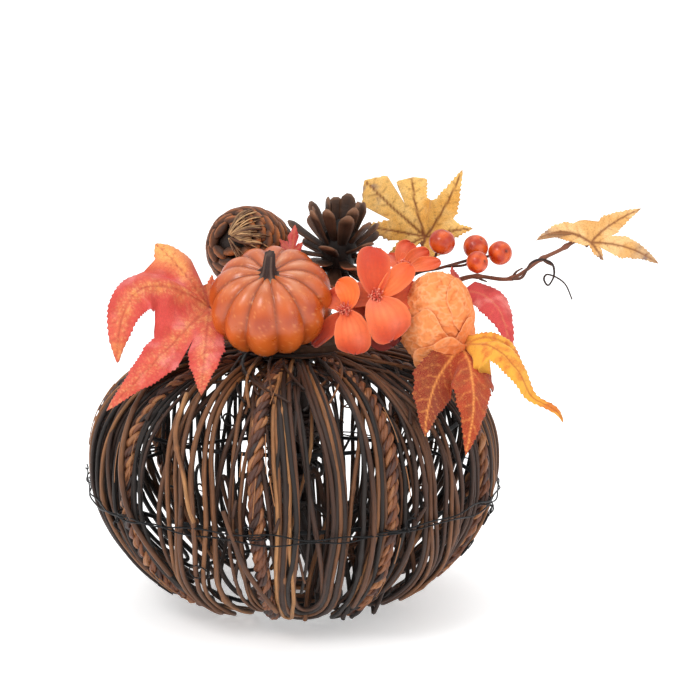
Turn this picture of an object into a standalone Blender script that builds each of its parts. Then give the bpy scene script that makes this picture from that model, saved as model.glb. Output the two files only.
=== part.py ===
"""Open woven-vine pumpkin ornament with a cluster of autumn picks on its crown.

The cage is made of long grapevine loops and twisted bark ropes that run from the
crown, over the belly, to the foot, tied to wire rings.  A foam mound on the crown
holds a small moulded pumpkin, two pine cones, fabric leaves and flowers, a paper
bud, a berry spray and a twig.

The cage's axis is Z, its foot is z = 0, its front is
-Y, and an angle of 0 is the front, growing towards +X.
"""
import bpy
import bmesh
import numpy as np
from math import sin, cos, pi, radians, degrees, atan2, sqrt, exp, acos
from mathutils import Vector, Matrix
from mathutils.geometry import delaunay_2d_cdt

# ---------------------------------------------------------------- driving dimensions (m)
CAGE_H = 0.152          # height of the vines' centre lines at the crown
CAGE_R = 0.1180         # belly radius of the vines' centre lines
BELLY_Z = 0.083         # height of the widest place
CROWN_R = 0.020         # where the profile closes at the crown
FOOT_R = 0.030          # where it closes at the foot
VINE_R = 0.0019         # a vine is 3.8 mm thick
ROPE_R = 0.0043         # a bark rope is 8.6 mm thick
RING_R = 0.0012         # frame rings are 2.4 mm wire
TIE_R = 0.0005          # belly tie is 1 mm wire
GAP = 0.0003            # what touching pieces keep between them
FLAT = 0.0004           # how much the loops' lowest bends are pressed flat
SKIN = 0.0011           # fabric leaves and petals
PICK_STEM_R = 0.0015

# ---------------------------------------------------------------- scene
for o in list(bpy.data.objects):
    bpy.data.objects.remove(o)

MATERIALS = {
    "vine": ((0.19, 0.105, 0.055), 0.75, 0.0),
    "bark_rope": ((0.25, 0.115, 0.05), 0.7, 0.0),
    "dark_wire": ((0.03, 0.03, 0.032), 0.45, 0.9),
    "foam": ((0.16, 0.10, 0.06), 0.95, 0.0),
    "pumpkin_skin": ((0.72, 0.22, 0.06), 0.45, 0.0),
    "dark_stem": ((0.06, 0.035, 0.025), 0.6, 0.0),
    "cone_scale": ((0.17, 0.09, 0.05), 0.7, 0.0),
    "red_leaf": ((0.72, 0.16, 0.12), 0.75, 0.0),
    "veined_leaf": ((0.60, 0.13, 0.05), 0.75, 0.0),
    "pink_leaf": ((0.62, 0.12, 0.11), 0.75, 0.0),
    "tan_leaf": ((0.80, 0.50, 0.20), 0.75, 0.0),
    "petal": ((0.90, 0.20, 0.06), 0.7, 0.0),
    "stamen": ((0.85, 0.18, 0.14), 0.8, 0.0),
    "bud_paper": ((0.86, 0.36, 0.14), 0.85, 0.0),
    "berry": ((0.72, 0.13, 0.03), 0.25, 0.0),
    "twig": ((0.11, 0.05, 0.03), 0.7, 0.0),
}


def material(name):
    m = bpy.data.materials.get(name)
    if m is None:
        colour, rough, metal = MATERIALS[name]
        m = bpy.data.materials.new(name)
        m.use_nodes = True
        b = m.node_tree.nodes["Principled BSDF"]
        b.inputs["Base Color"].default_value = (*colour, 1.0)
        b.inputs["Roughness"].default_value = rough
        b.inputs["Metallic"].default_value = metal
    return m


def add_object(name, bm, mat, origin=None, smooth=True):
    """One named part from a bmesh in the cage frame, its origin moved to `origin`."""
    bmesh.ops.recalc_face_normals(bm, faces=bm.faces)
    if origin is not None:
        bmesh.ops.translate(bm, verts=bm.verts, vec=-Vector(origin))
    me = bpy.data.meshes.new(name)
    bm.to_mesh(me)
    bm.free()
    me.materials.append(material(mat))
    if smooth:
        me.shade_smooth()
        me.set_sharp_from_angle(angle=radians(50))
    ob = bpy.data.objects.new(name, me)
    bpy.context.scene.collection.objects.link(ob)
    if origin is not None:
        ob.location = origin
    return ob


# ---------------------------------------------------------------- the cage's profile
def profile_curve(n=400):
    """Crown to foot: two quarter superellipses that meet at the belly."""
    out = []
    low = VINE_R * cos(pi / 6) - FLAT
    for i in range(n + 1):
        t = pi * i / n
        c, s = cos(t), sin(t)
        if c >= 0:
            z = BELLY_Z + (CAGE_H - BELLY_Z) * abs(c) ** (2 / 2.5)
            r = CROWN_R + (CAGE_R - CROWN_R) * abs(s) ** (2 / 2.6)
        else:
            z = BELLY_Z - (BELLY_Z - low) * abs(c) ** (2 / 1.78)
            r = FOOT_R + (CAGE_R - FOOT_R) * abs(s) ** (2 / 1.85)
        out.append((r, z))
    return np.array(out)


PROFILE = profile_curve()
STEP = np.linalg.norm(np.diff(PROFILE, axis=0), axis=1)
ALONG = np.concatenate([[0], np.cumsum(STEP)])
LENGTH = ALONG[-1]


def on_profile(m):
    """Radius, height and outward normal (radial, vertical) at arc length m."""
    m = min(max(m, 0.0), LENGTH)
    r = np.interp(m, ALONG, PROFILE[:, 0])
    z = np.interp(m, ALONG, PROFILE[:, 1])
    e = 0.0015
    a, b = max(m - e, 0), min(m + e, LENGTH)
    dr = np.interp(b, ALONG, PROFILE[:, 0]) - np.interp(a, ALONG, PROFILE[:, 0])
    dz = np.interp(b, ALONG, PROFILE[:, 1]) - np.interp(a, ALONG, PROFILE[:, 1])
    d = sqrt(dr * dr + dz * dz) or 1.0
    return r, z, -dz / d, dr / d


def m_at_radius(r, crown):
    """Arc length of the place with this radius, on the crown's side or the foot's."""
    i = int(np.argmax(PROFILE[:, 0]))
    if crown:
        return float(np.interp(r, PROFILE[: i + 1, 0], ALONG[: i + 1]))
    return float(np.interp(-r, -PROFILE[i:, 0], ALONG[i:]))


def r_at_height(z, crown=False):
    i = int(np.argmax(PROFILE[:, 0]))
    if z > BELLY_Z:
        return float(np.interp(-z, -PROFILE[: i + 1, 1], PROFILE[: i + 1, 0]))
    return float(np.interp(-z, -PROFILE[i:, 1], PROFILE[i:, 0]))


def cage_point(m, angle, inset=0.0):
    """Point and outward normal on the cage at arc length m and angle (radians)."""
    r, z, nr, nz = on_profile(m)
    r -= nr * inset
    z -= nz * inset
    return (
        Vector((r * sin(angle), -r * cos(angle), z)),
        Vector((nr * sin(angle), -nr * cos(angle), nz)),
    )


# ---------------------------------------------------------------- tubes
def tube(points, normals, radius, sides, closed=False, twist=0.0, lobed=0.0, floor=None):
    """A tube along points.  One side faces each point's normal.  `lobed` makes every
    second corner smaller and `twist` turns each ring, as in a laid rope."""
    bm = bmesh.new()
    n = len(points)
    rings = []
    for i, p in enumerate(points):
        if closed:
            t = points[(i + 1) % n] - points[i - 1]
        else:
            t = points[min(i + 1, n - 1)] - points[max(i - 1, 0)]
        t.normalize()
        nn = normals[i] if normals else Vector((0, 0, 1))
        nn = nn - t * nn.dot(t)
        if nn.length < 1e-6:
            nn = t.orthogonal()
        nn.normalize()
        b = t.cross(nn)
        rad = radius(i / (n - 1)) if callable(radius) else radius
        ring = []
        for k in range(sides):
            a = pi / sides + 2 * pi * k / sides + twist * i
            q = rad * (1 - lobed * (k % 2))
            v = p + nn * (cos(a) * q) + b * (sin(a) * q)
            if floor is not None and v.z < floor:
                v.z = floor
            ring.append(bm.verts.new(v))
        rings.append(ring)
    last = n if closed else n - 1
    for i in range(last):
        a, b2 = rings[i], rings[(i + 1) % n]
        for k in range(sides):
            j = (k + 1) % sides
            bm.faces.new((a[k], a[j], b2[j], b2[k]))
    if not closed:
        bm.faces.new(list(reversed(rings[0])))
        bm.faces.new(rings[-1])
    return bm


def smooth_route(points, count):
    """Catmull-Rom through the route's own points, resampled evenly."""
    pts = [Vector(p) for p in points]
    full = [pts[0] * 2 - pts[1]] + pts + [pts[-1] * 2 - pts[-2]]
    fine = []
    for i in range(1, len(full) - 2):
        p0, p1, p2, p3 = full[i - 1 : i + 3]
        for k in range(24):
            t = k / 24
            fine.append(
                0.5
                * (
                    2 * p1
                    + (p2 - p0) * t
                    + (2 * p0 - 5 * p1 + 4 * p2 - p3) * t * t
                    + (3 * p1 - p0 - 3 * p2 + p3) * t ** 3
                )
            )
    fine.append(pts[-1])
    d = np.cumsum([0] + [(fine[i + 1] - fine[i]).length for i in range(len(fine) - 1)])
    arr = np.array([list(p) for p in fine])
    s = np.linspace(0, d[-1], count)
    return [Vector([float(np.interp(x, d, arr[:, k])) for k in range(3)]) for x in s]


# ---------------------------------------------------------------- vine loops and ropes
ROPES = [-52.0, -9.0, 29.0, 68.0, 108.0, 148.0, 188.0, 228.0, 268.0]   # degrees

# name, angle at the crown, belly and foot, half width at the belly (degrees), end radius
WIDE_END, NARROW_END = 0.050, 0.088


def loop_table():
    rows = []
    for k, start in enumerate(ROPES):
        end = ROPES[(k + 1) % len(ROPES)] + (360 if k == len(ROPES) - 1 else 0)
        span = end - start
        wide = [start + 0.30 * span, start + 0.31 * span, start + 0.36 * span]
        narrow = [start + 0.71 * span, start + 0.74 * span, start + 0.72 * span]
        halves = (0.17 * span, 0.13 * span)
        ends = [WIDE_END, NARROW_END]
        if start == -9.0:   # the front pair: one broad loop and a slim one beside it
            wide = [start + 0.31 * span, start + 0.40 * span, start + 0.47 * span]
            narrow = [start + 0.76 * span, start + 0.80 * span, start + 0.81 * span]
            halves, ends = (7.6, 2.9), [0.042, 0.088]
        if start == -52.0:  # on the left of the front the broad loop is the right one
            wide = [start + 0.71 * span, start + 0.70 * span, start + 0.64 * span]
            narrow = [start + 0.30 * span, start + 0.28 * span, start + 0.28 * span]
            halves, ends = (7.0, 6.0), [0.058, 0.088]
        rows.append((f"vine_loop_{2 * k + 1:02d}", wide, halves[0], ends[0], 0.028, 0.0032))
        rows.append((f"vine_loop_{2 * k + 2:02d}", narrow, halves[1], ends[1], 0.047, 0.0032))
    return rows


def loop_route(angles, half, end_r, crown_r, crown_w, count=14):
    """Half way down one side, round the bend at the foot, and up the other side."""
    m0, m1 = m_at_radius(crown_r, True), m_at_radius(end_r, False)
    belly_m = m_at_radius(CAGE_R - 1e-6, True)
    belly_w = radians(half) * CAGE_R
    turn = min(0.0065, 0.62 * belly_w)             # the bend's half width
    depth = 1.25 * turn                            # and its length along the cage
    me = m1 - depth

    def angle_at(m):
        if m < belly_m:
            f = (m - m0) / (belly_m - m0)
            f = f * f * (3 - 2 * f)
            return radians(angles[0] + (angles[1] - angles[0]) * f)
        f = min(1.0, (m - belly_m) / (me - belly_m))
        f = f * f * (3 - 2 * f)
        return radians(angles[1] + (angles[2] - angles[1]) * f)

    def width_at(m):
        if m < belly_m:
            f = (m - m0) / (belly_m - m0)
            return crown_w + (belly_w - crown_w) * sin(pi / 2 * f) ** 1.1
        f = min(1.0, (m - belly_m) / (me - belly_m))
        return turn + (belly_w - turn) * cos(pi / 2 * f) ** 0.9 if f < 1 else turn

    side = []
    for i in range(count):
        f = i / (count - 1)
        m = m0 + (me - m0) * f
        side.append((m, width_at(m)))
    bend = []
    for i in range(1, 6):
        a = pi * i / 6
        bend.append((me + depth * sin(a), turn * cos(a)))
    path = [(m, w) for m, w in side] + bend + [(m, -w) for m, w in reversed(side)]
    pts, nrm = [], []
    for m, w in path:
        r, z, nr, nz = on_profile(m)
        p, n = cage_point(m, angle_at(m) + w / r)
        pts.append(p)
        nrm.append(n)
    return pts, nrm


for name, angles, half, end_r, crown_r, crown_w in loop_table():
    pts, nrm = loop_route(angles, half, end_r, crown_r, crown_w)
    add_object(name, tube(pts, nrm, VINE_R, 6, floor=0.0), "vine")

for k, ang in enumerate(ROPES):
    m0, m1 = m_at_radius(0.062, True), m_at_radius(0.064, False)
    pts, nrm = [], []
    n = 17
    for i in range(n):
        f = i / (n - 1)
        m = m0 + (m1 - m0) * f
        p, nn = cage_point(m, radians(ang), inset=0.0016 + 0.0012 * sin(pi * f))
        pts.append(p)
        nrm.append(nn)
    add_object(f"bark_rope_{k + 1}", tube(pts, nrm, ROPE_R, 6, twist=0.42, lobed=0.2), "bark_rope")


# ---------------------------------------------------------------- wire frame
def ring(name, radius, height, wire, sides, segments, mat="dark_wire"):
    pts = [
        Vector((radius * sin(2 * pi * i / segments), -radius * cos(2 * pi * i / segments), height))
        for i in range(segments)
    ]
    nrm = [Vector((0, 0, 1))] * segments
    return add_object(name, tube(pts, nrm, wire, sides, closed=True), mat)


ring("crown_ring", 0.034, CAGE_H - VINE_R - GAP - RING_R - 0.0006, RING_R, 6, 18)
ring("upper_frame_ring", 0.0965, 0.1125, RING_R, 6, 28)
ring("belly_frame_ring", r_at_height(0.072) - 0.0105, 0.072, RING_R, 6, 28)
ring("foot_frame_ring", 0.056, 0.0148, RING_R, 6, 22)
ring("belly_tie_wire", r_at_height(0.0725) + VINE_R + TIE_R + 0.0010, 0.0725, TIE_R, 4, 36)

# ---------------------------------------------------------------- bound ends at the foot and the crown
def lathe(profile, at, axis, sides):
    """Closed turned solid: profile is (radius, height) from the bottom pole to the top pole."""
    bm = bmesh.new()
    spin = aim(axis)
    rows = []
    for r, z in profile:
        if r < 1e-7:
            rows.append([bm.verts.new(Vector(at) + spin @ Vector((0, 0, z)))])
        else:
            rows.append(
                [
                    bm.verts.new(Vector(at) + spin @ Vector((r * cos(2 * pi * i / sides), r * sin(2 * pi * i / sides), z)))
                    for i in range(sides)
                ]
            )
    for a, b in zip(rows[:-1], rows[1:]):
        for i in range(sides):
            j = (i + 1) % sides
            if len(a) == 1:
                bm.faces.new((a[0], b[j], b[i]))
            elif len(b) == 1:
                bm.faces.new((a[i], a[j], b[0]))
            else:
                bm.faces.new((a[i], a[j], b[j], b[i]))
    return bm


def aim(axis):
    """Rotation that carries +Z to axis."""
    return Vector((0, 0, 1)).rotation_difference(Vector(axis).normalized()).to_matrix()


add_object("base_knot", lathe([(0, 0), (0.029, 0), (0.031, 0.003), (0.027, 0.0075), (0.012, 0.010), (0, 0.0102)], (0, 0, 0), (0, 0, 1), 20), "vine")
add_object(
    "pick_stem_bundle",
    lathe([(0, 0.0130), (0.0080, 0.0135), (0.0062, 0.050), (0.0075, 0.085), (0.0085, 0.120), (0.0125, 0.150), (0, CAGE_H + VINE_R - 0.0001)], (0.002, 0, 0), (0.0, 0, 1), 10),
    "dark_stem",
)

# ---------------------------------------------------------------- foam mound on the crown
def mound():
    bm = bmesh.new()
    cy, rad, base = 0.006, 0.0375, CAGE_H + VINE_R + GAP

    def height(x, y):
        return base + 0.0030 + 0.0225 * exp(-((x - 0.003) ** 2 + (y - 0.030) ** 2) / (2 * 0.0125 ** 2))

    n, rings_n = 18, 5
    top, rows = bm.verts.new((0, cy, height(0, cy))), []
    for j in range(1, rings_n + 1):
        q = rad * j / rings_n
        rows.append(
            [
                bm.verts.new((q * sin(2 * pi * i / n), cy - q * cos(2 * pi * i / n), height(q * sin(2 * pi * i / n), cy - q * cos(2 * pi * i / n))))
                for i in range(n)
            ]
        )
    foot = [bm.verts.new((rad * sin(2 * pi * i / n), cy - rad * cos(2 * pi * i / n), base)) for i in range(n)]
    for i in range(n):
        j = (i + 1) % n
        bm.faces.new((top, rows[0][i], rows[0][j]))
        for a, b in zip(rows[:-1], rows[1:]):
            bm.faces.new((a[i], b[i], b[j], a[j]))
        bm.faces.new((rows[-1][i], foot[i], foot[j], rows[-1][j]))
    bm.faces.new(list(reversed(foot)))
    return bm


add_object("foam_mound", mound(), "foam")

# ---------------------------------------------------------------- small moulded pumpkin
PUMPKIN_AT = Vector((-0.0118, -0.038, 0.186))
PUMPKIN_AXIS = Vector((-0.03, -0.545, 0.838))
PUMPKIN_R, PUMPKIN_HALF = 0.0338, 0.0262


def pumpkin_height(v, rho):
    return PUMPKIN_HALF * cos(v) * (1 - 0.26 * exp(-((rho / (0.34 * PUMPKIN_R)) ** 2)))


def small_pumpkin():
    bm = bmesh.new()
    spin = aim(PUMPKIN_AXIS)
    ribs, rows = 12, 9
    n = ribs * 2
    grid = []
    for j in range(1, rows):
        v = pi * j / rows
        row = []
        for i in range(n):
            rho = PUMPKIN_R * sin(v) ** 0.85 * (1.0 if i % 2 == 0 else 0.93)
            a = 2 * pi * i / n
            p = Vector((rho * cos(a), rho * sin(a), pumpkin_height(v, rho)))
            row.append(bm.verts.new(PUMPKIN_AT + spin @ p))
        grid.append(row)
    top = bm.verts.new(PUMPKIN_AT + spin @ Vector((0, 0, pumpkin_height(0, 0))))
    low = bm.verts.new(PUMPKIN_AT + spin @ Vector((0, 0, -PUMPKIN_HALF * 0.8)))
    for i in range(n):
        j = (i + 1) % n
        bm.faces.new((top, grid[0][i], grid[0][j]))
        bm.faces.new((low, grid[-1][j], grid[-1][i]))
        for a, b in zip(grid[:-1], grid[1:]):
            bm.faces.new((a[i], b[i], b[j], a[j]))
    return bm


add_object("small_pumpkin", small_pumpkin(), "pumpkin_skin")
top_h = pumpkin_height(0, 0) + 0.0016
add_object(
    "small_pumpkin_stem",
    lathe([(0, top_h), (0.0062, top_h + 0.0004), (0.0040, top_h + 0.0030), (0.0030, top_h + 0.0075), (0.0031, top_h + 0.0140), (0, top_h + 0.0145)],
          PUMPKIN_AT, PUMPKIN_AXIS, 8),
    "dark_stem",
)

# ---------------------------------------------------------------- pine cones
def closed_cone(at, axis, length, radius):
    """A shut cone: an egg with a stepped row of scales, its broad base at +axis."""
    prof = []
    rows = 8
    for j in range(rows + 1):
        t = j / rows
        r = radius * (sin(pi * min(1.0, 0.06 + 0.94 * t) ** 0.78) ** 0.72 if 0 < t < 1 else 0)
        prof.append((max(r, 0.0), length * (t - 0.5)))
    bm = lathe(prof, at, axis, 14)
    return bm


CONE_A_AT, CONE_A_AXIS = Vector((-0.0254, 0.028, 0.2036)), Vector((-0.42, -0.80, 0.40)).normalized()
CONE_B_AT, CONE_B_AXIS = Vector((0.0250, 0.0210, 0.2080)), Vector((0.10, -0.10, 1.0)).normalized()
add_object("closed_pine_cone", closed_cone(CONE_A_AT, CONE_A_AXIS, 0.052, 0.0224), "cone_scale")


def open_cone(at, axis):
    """An open cone: a stubby core with its scales drawn out as spikes round it."""
    bm = bmesh.new()
    bmesh.ops.create_icosphere(bm, subdivisions=2, radius=1.0)
    bm.verts.ensure_lookup_table()
    spin = aim(axis)
    spikes = []
    golden = pi * (3 - sqrt(5))
    for k in range(15):
        z = -0.45 + 1.35 * k / 14
        a = golden * k
        s = sqrt(max(0.0, 1 - z * z)) if z < 1 else 0
        spikes.append(Vector((s * cos(a), s * sin(a), z)).normalized())
    used = set()
    for d in spikes:
        v = max((v for v in bm.verts if v.index not in used), key=lambda v: v.co.dot(d))
        used.add(v.index)
    for v in bm.verts:
        d = v.co.normalized()
        long = 0.0135 + 0.0025 * d.z
        if v.index in used:
            long = 0.0225 + 0.0060 * max(0.0, d.z)
        v.co = Vector(at) + spin @ (d * long)
    return bm


add_object("open_pine_cone", open_cone(CONE_B_AT, CONE_B_AXIS), "cone_scale")


# ---------------------------------------------------------------- fabric leaves and petals
def bez(a, b, c, t):
    return a * (1 - t) ** 2 + b * (2 * t * (1 - t)) + c * t * t


def bez_dir(a, b, c, t):
    return ((b - a) * (2 * (1 - t)) + (c - b) * (2 * t)).normalized()


def bez_length(a, b, c):
    pts = [bez(a, b, c, i / 24) for i in range(25)]
    return sum((pts[i + 1] - pts[i]).length for i in range(24))


class Blade:
    """A palmate sheet: lobes whose midribs are bent curves from one junction.  Each
    lobe is (halfway point, tip, half width), all in mm; `normal` is the outer side."""

    def __init__(self, at, normal, lobes, petiole=None, sinus=0.42, shape="leaf"):
        self.at, self.n = Vector(at) * 0.001, Vector(normal).normalized()
        self.u = Vector((1, 0, 0)) - self.n * self.n.x
        self.u.normalize()
        self.v = self.n.cross(self.u)
        self.shape, self.sinus = shape, sinus
        self.ribs = []
        for over, tip, half in lobes:
            tip = Vector(tip) * 0.001
            bend = Vector(over) * 0.002 - (self.at + tip) / 2
            d = bend - self.at
            self.ribs.append(dict(bend=bend, tip=tip, half=half * 0.001, a=atan2(d.dot(self.v), d.dot(self.u)),
                                  long=bez_length(self.at, bend, tip), stalk=False))
        if petiole:
            tip = Vector(petiole[1]) * 0.001
            bend = Vector(petiole[0]) * 0.002 - (self.at + tip) / 2
            d = bend - self.at
            self.ribs.append(dict(bend=bend, tip=tip, half=0.0010, a=atan2(d.dot(self.v), d.dot(self.u)),
                                  long=bez_length(self.at, bend, tip), stalk=True))
        self.ribs.sort(key=lambda q: q["a"])

    def width(self, rib, t):
        if rib["stalk"]:
            return rib["half"]
        if self.shape == "petal":
            keys = ((0.0, 0.30), (0.25, 0.62), (0.5, 0.95), (0.7, 1.0), (0.88, 0.72), (1.0, 0.12))
        else:
            keys = ((0.0, 0.55), (0.28, 0.78), (0.5, 1.0), (0.72, 0.66), (0.9, 0.25), (1.0, 0.0))
        return rib["half"] * float(np.interp(t, [k[0] for k in keys], [k[1] for k in keys]))

    def outline(self, stations):
        """Flat outline, counter-clockwise, and points along the midribs."""
        edge, inner = [], [(0.0, 0.0)]
        n = len(self.ribs)
        for i, rib in enumerate(self.ribs):
            nxt = self.ribs[(i + 1) % n]
            d = (cos(rib["a"]), sin(rib["a"]))
            e = (-d[1], d[0])
            gap_before = (rib["a"] - self.ribs[i - 1]["a"]) % (2 * pi)
            gap_after = (nxt["a"] - rib["a"]) % (2 * pi)
            use = [0.97] if rib["stalk"] else stations
            right = []
            for t in use:
                s, w = t * rib["long"], self.width(rib, t)
                if atan2(w, s) < 0.46 * min(gap_before, 2.2):
                    right.append((s * d[0] - w * e[0], s * d[1] - w * e[1]))
            left = []
            for t in reversed(use):
                s, w = t * rib["long"], self.width(rib, t)
                if atan2(w, s) < 0.46 * min(gap_after, 2.2):
                    left.append((s * d[0] + w * e[0], s * d[1] + w * e[1]))
            edge += right
            if not rib["stalk"]:
                edge.append((rib["long"] * d[0], rib["long"] * d[1]))
            edge += left
            mid = rib["a"] + gap_after / 2
            short = min(rib["long"] if not rib["stalk"] else 9, nxt["long"] if not nxt["stalk"] else 9)
            q = self.sinus * short
            if rib["stalk"] or nxt["stalk"]:
                q = 0.26 * short
            if gap_after > 1.9:
                q = 0.12 * short
            edge.append((q * cos(mid), q * sin(mid)))
            if not rib["stalk"]:
                for t in (0.35, 0.7):
                    inner.append((t * rib["long"] * d[0], t * rib["long"] * d[1]))
        return edge, inner

    def place(self, x, y):
        """The flat point (x, y) carried onto the bent lobes."""
        phi = atan2(y, x)
        total, out = 0.0, Vector()
        for rib in self.ribs:
            d = (cos(rib["a"]), sin(rib["a"]))
            s, q = x * d[0] + y * d[1], -x * d[1] + y * d[0]
            t = s / rib["long"]
            away = abs((phi - rib["a"] + pi) % (2 * pi) - pi)
            w = exp(-((away / 0.40) ** 2)) + 1e-9
            tt = min(max(t, 0.0), 1.0)
            c = bez(self.at, rib["bend"], rib["tip"], tt)
            g = bez_dir(self.at, rib["bend"], rib["tip"], tt)
            if t < 0:
                c = self.at + g * s
            elif t > 1:
                c = rib["tip"] + g * (s - rib["long"])
            side = self.n.cross(g)
            if side.length < 0.2:
                side = self.n.cross((rib["tip"] - self.at).normalized())
            side.normalize()
            out += (c + side * q) * w
            total += w
        return out / total

    def solid(self, thick, stations=(0.38, 0.55, 0.78)):
        edge, inner = self.outline(stations)
        pts = [Vector(p) for p in edge + inner]
        k = len(edge)
        verts, _, faces, *_ = delaunay_2d_cdt(pts, [(i, (i + 1) % k) for i in range(k)], [list(range(k))], 1, 1e-7)
        bm = bmesh.new()
        vs = [bm.verts.new(self.place(v.x, v.y)) for v in verts]
        for f in faces:
            bm.faces.new([vs[i] for i in f])
        bmesh.ops.triangulate(bm, faces=bm.faces)
        bmesh.ops.recalc_face_normals(bm, faces=bm.faces)
        bm.normal_update()
        normals = {v: v.normal.copy() for v in bm.verts}
        border = [e for e in bm.edges if len(e.link_faces) == 1]
        twin = {v: bm.verts.new(v.co - normals[v] * thick) for v in list(bm.verts)}
        for f in list(bm.faces):
            if all(v in twin for v in f.verts):
                bm.faces.new([twin[v] for v in reversed(f.verts)])
        for e in border:
            a, b = e.verts
            bm.faces.new((a, b, twin[b], twin[a]))
        return bm


# Each blade, in mm: junction, outer side, lobes (halfway point, tip, half width), stalk,
# how deep the notches between lobes reach, outline, material, and where it is wired on.
BLADES = {
    "maple_leaf_left": (
        (-47, -24, 180), (-0.45, -0.80, 0.40),
        [((-61, -25, 200), (-77, -15, 215), 12.5), ((-84, -42, 193), (-95.5, -54, 154), 11.0),
         ((-74, -62, 158), (-103, -60, 127.5), 11.5), ((-51, -61, 163), (-49, -77, 143), 7.5),
         ((-46, -18, 188), (-46, -12, 196), 4.0)],
        ((-40, -6, 168), (-30, 4, 159.5)), 0.60, "leaf", "red_leaf", (-30, 4, 159.5)),
    "maple_leaf_tan": (
        (77, 45, 208.5), (0.05, -0.90, 0.30),
        [((58, 52, 223), (38.5, 56, 239), 11.0), ((71.5, 47, 227), (71.5, 52, 244), 7.8),
         ((88, 40, 228), (98, 42, 249), 7.5), ((91.5, 36, 213.5), (104, 35, 215), 5.0),
         ((59, 50, 211), (38.5, 54, 213), 7.0), ((65.5, 47, 203), (54, 52, 195), 6.0),
         ((73, 42, 200), (67, 44, 190.5), 4.5)],
        ((60, 38, 180), (34, 31, 162)), 0.60, "leaf", "tan_leaf", (34, 31, 162)),
    "maple_leaf_pink": (
        (98, -6, 185), (0.50, -0.75, 0.45),
        [((114.5, -18, 179.5), (123.5, -30, 153), 9.5), ((92, -10, 193), (90, -14, 201.5), 4.2)],
        ((68, 0, 171), (37, 3, 161)), 0.42, "leaf", "pink_leaf", (37, 3, 161)),
    "maple_leaf_drooping": (
        (93, -58, 165), (0.40, -0.75, 0.50),
        [((77, -83, 151), (72.5, -98, 123.5), 12.0), ((97, -82, 143), (94.5, -96, 112.5), 11.0),
         ((117, -66, 157), (150, -58, 122), 7.5), ((114.5, -54, 166), (129, -43, 141), 4.0)],
        None, 0.40, "leaf", "veined_leaf", (91, -60, 166.5)),
    "maple_leaf_small": (
        (-1, 3, 206), (0.0, -1.0, 0.10),
        [((0, 4, 214), (1, 5, 222), 4.0), ((-4.5, 3, 210), (-8, 3, 214), 3.0), ((2.5, 4, 209), (5, 4, 212), 2.5)],
        ((-0.5, 6, 190), (0, 6, 163.5)), 0.45, "leaf", "pink_leaf", None),
    "twig_leaf": (
        (169, -3.2, 213), (0.0, -1.0, 0.10),
        [((153, -5, 218), (139.5, -8, 207.5), 5.5), ((156, -4, 219.5), (143.5, -4, 221), 4.5),
         ((181, -1, 223.5), (197.5, 0, 232), 6.0), ((190, -2, 210), (208, -1, 200.5), 6.0),
         ((173, -4.5, 208), (176, -6, 203), 2.6)],
        None, 0.34, "leaf", "tan_leaf", (168, 0, 210.5)),
    "flower_left": (
        (29, -48, 180), (-0.10, -0.85, 0.50),
        [((31, -46, 189), (28, -40, 198), 7.0), ((26.5, -41, 185), (28, -32, 191), 4.0),
         ((33, -60, 171), (34, -60, 161), 9.5), ((21, -46, 172), (14, -31, 160), 5.0)],
        None, 0.22, "petal", "petal", None),
    "flower_middle": (
        (48, -40, 187), (0.15, -0.85, 0.50),
        [((44, -38, 202), (45, -30, 214), 8.5), ((56.5, -33, 193), (61, -20, 200), 6.0),
         ((53, -55, 178), (56, -53, 167), 9.5), ((42.5, -34, 187), (40, -24, 189), 5.0)],
        None, 0.22, "petal", "petal", None),
    "flower_back": (
        (62, -4, 198), (0.20, -0.75, 0.63),
        [((55, -5, 201), (50, -6, 207), 5.5), ((61, 3, 206), (61, 10, 212), 5.5),
         ((71, -1, 203.5), (76.5, -1, 206), 5.0), ((60, -12, 199), (61, -19, 205), 5.0)],
        None, 0.22, "petal", "petal", None),
}

for name, (at, normal, lobes, stalk, sinus, shape, mat, origin) in BLADES.items():
    blade = Blade(at, normal, lobes, stalk, sinus, shape)
    st = (0.4, 0.7, 0.9) if shape == "petal" else (0.38, 0.55, 0.78)
    add_object(name, blade.solid(SKIN, st), mat, origin=Vector(origin) * 0.001 if origin else None)

# ---------------------------------------------------------------- stamens, a small dome on each flower
for name, flower in (("flower_left_stamens", "flower_left"), ("flower_middle_stamens", "flower_middle"), ("flower_back_stamens", "flower_back")):
    at, normal = Vector(BLADES[flower][0]) * 0.001, Vector(BLADES[flower][1]).normalized()
    base = at + normal * 0.0030
    add_object(name, lathe([(0, 0), (0.0030, 0.0002), (0.0036, 0.0018), (0.0022, 0.0038), (0, 0.0044)], base, normal, 8), "stamen")

# ---------------------------------------------------------------- paper bud and its wrapping petal
BUD_AT = Vector((0.0807, -0.035, 0.1757))
BUD_HALF = Vector((0.0202, 0.0200, 0.0258))


def egg(at, half, rows=8, cols=14):
    bm = bmesh.new()
    prof = [(sin(pi * j / rows), -cos(pi * j / rows)) for j in range(rows + 1)]
    bm.free()
    bm = lathe([(r if 0 < j < rows else 0, z) for j, (r, z) in enumerate(prof)], (0, 0, 0), (0, 0, 1), cols)
    for v in bm.verts:
        v.co = Vector((v.co.x * half.x, v.co.y * half.y, v.co.z * half.z)) + at
    return bm


add_object("paper_bud", egg(BUD_AT, BUD_HALF), "bud_paper")


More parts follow.
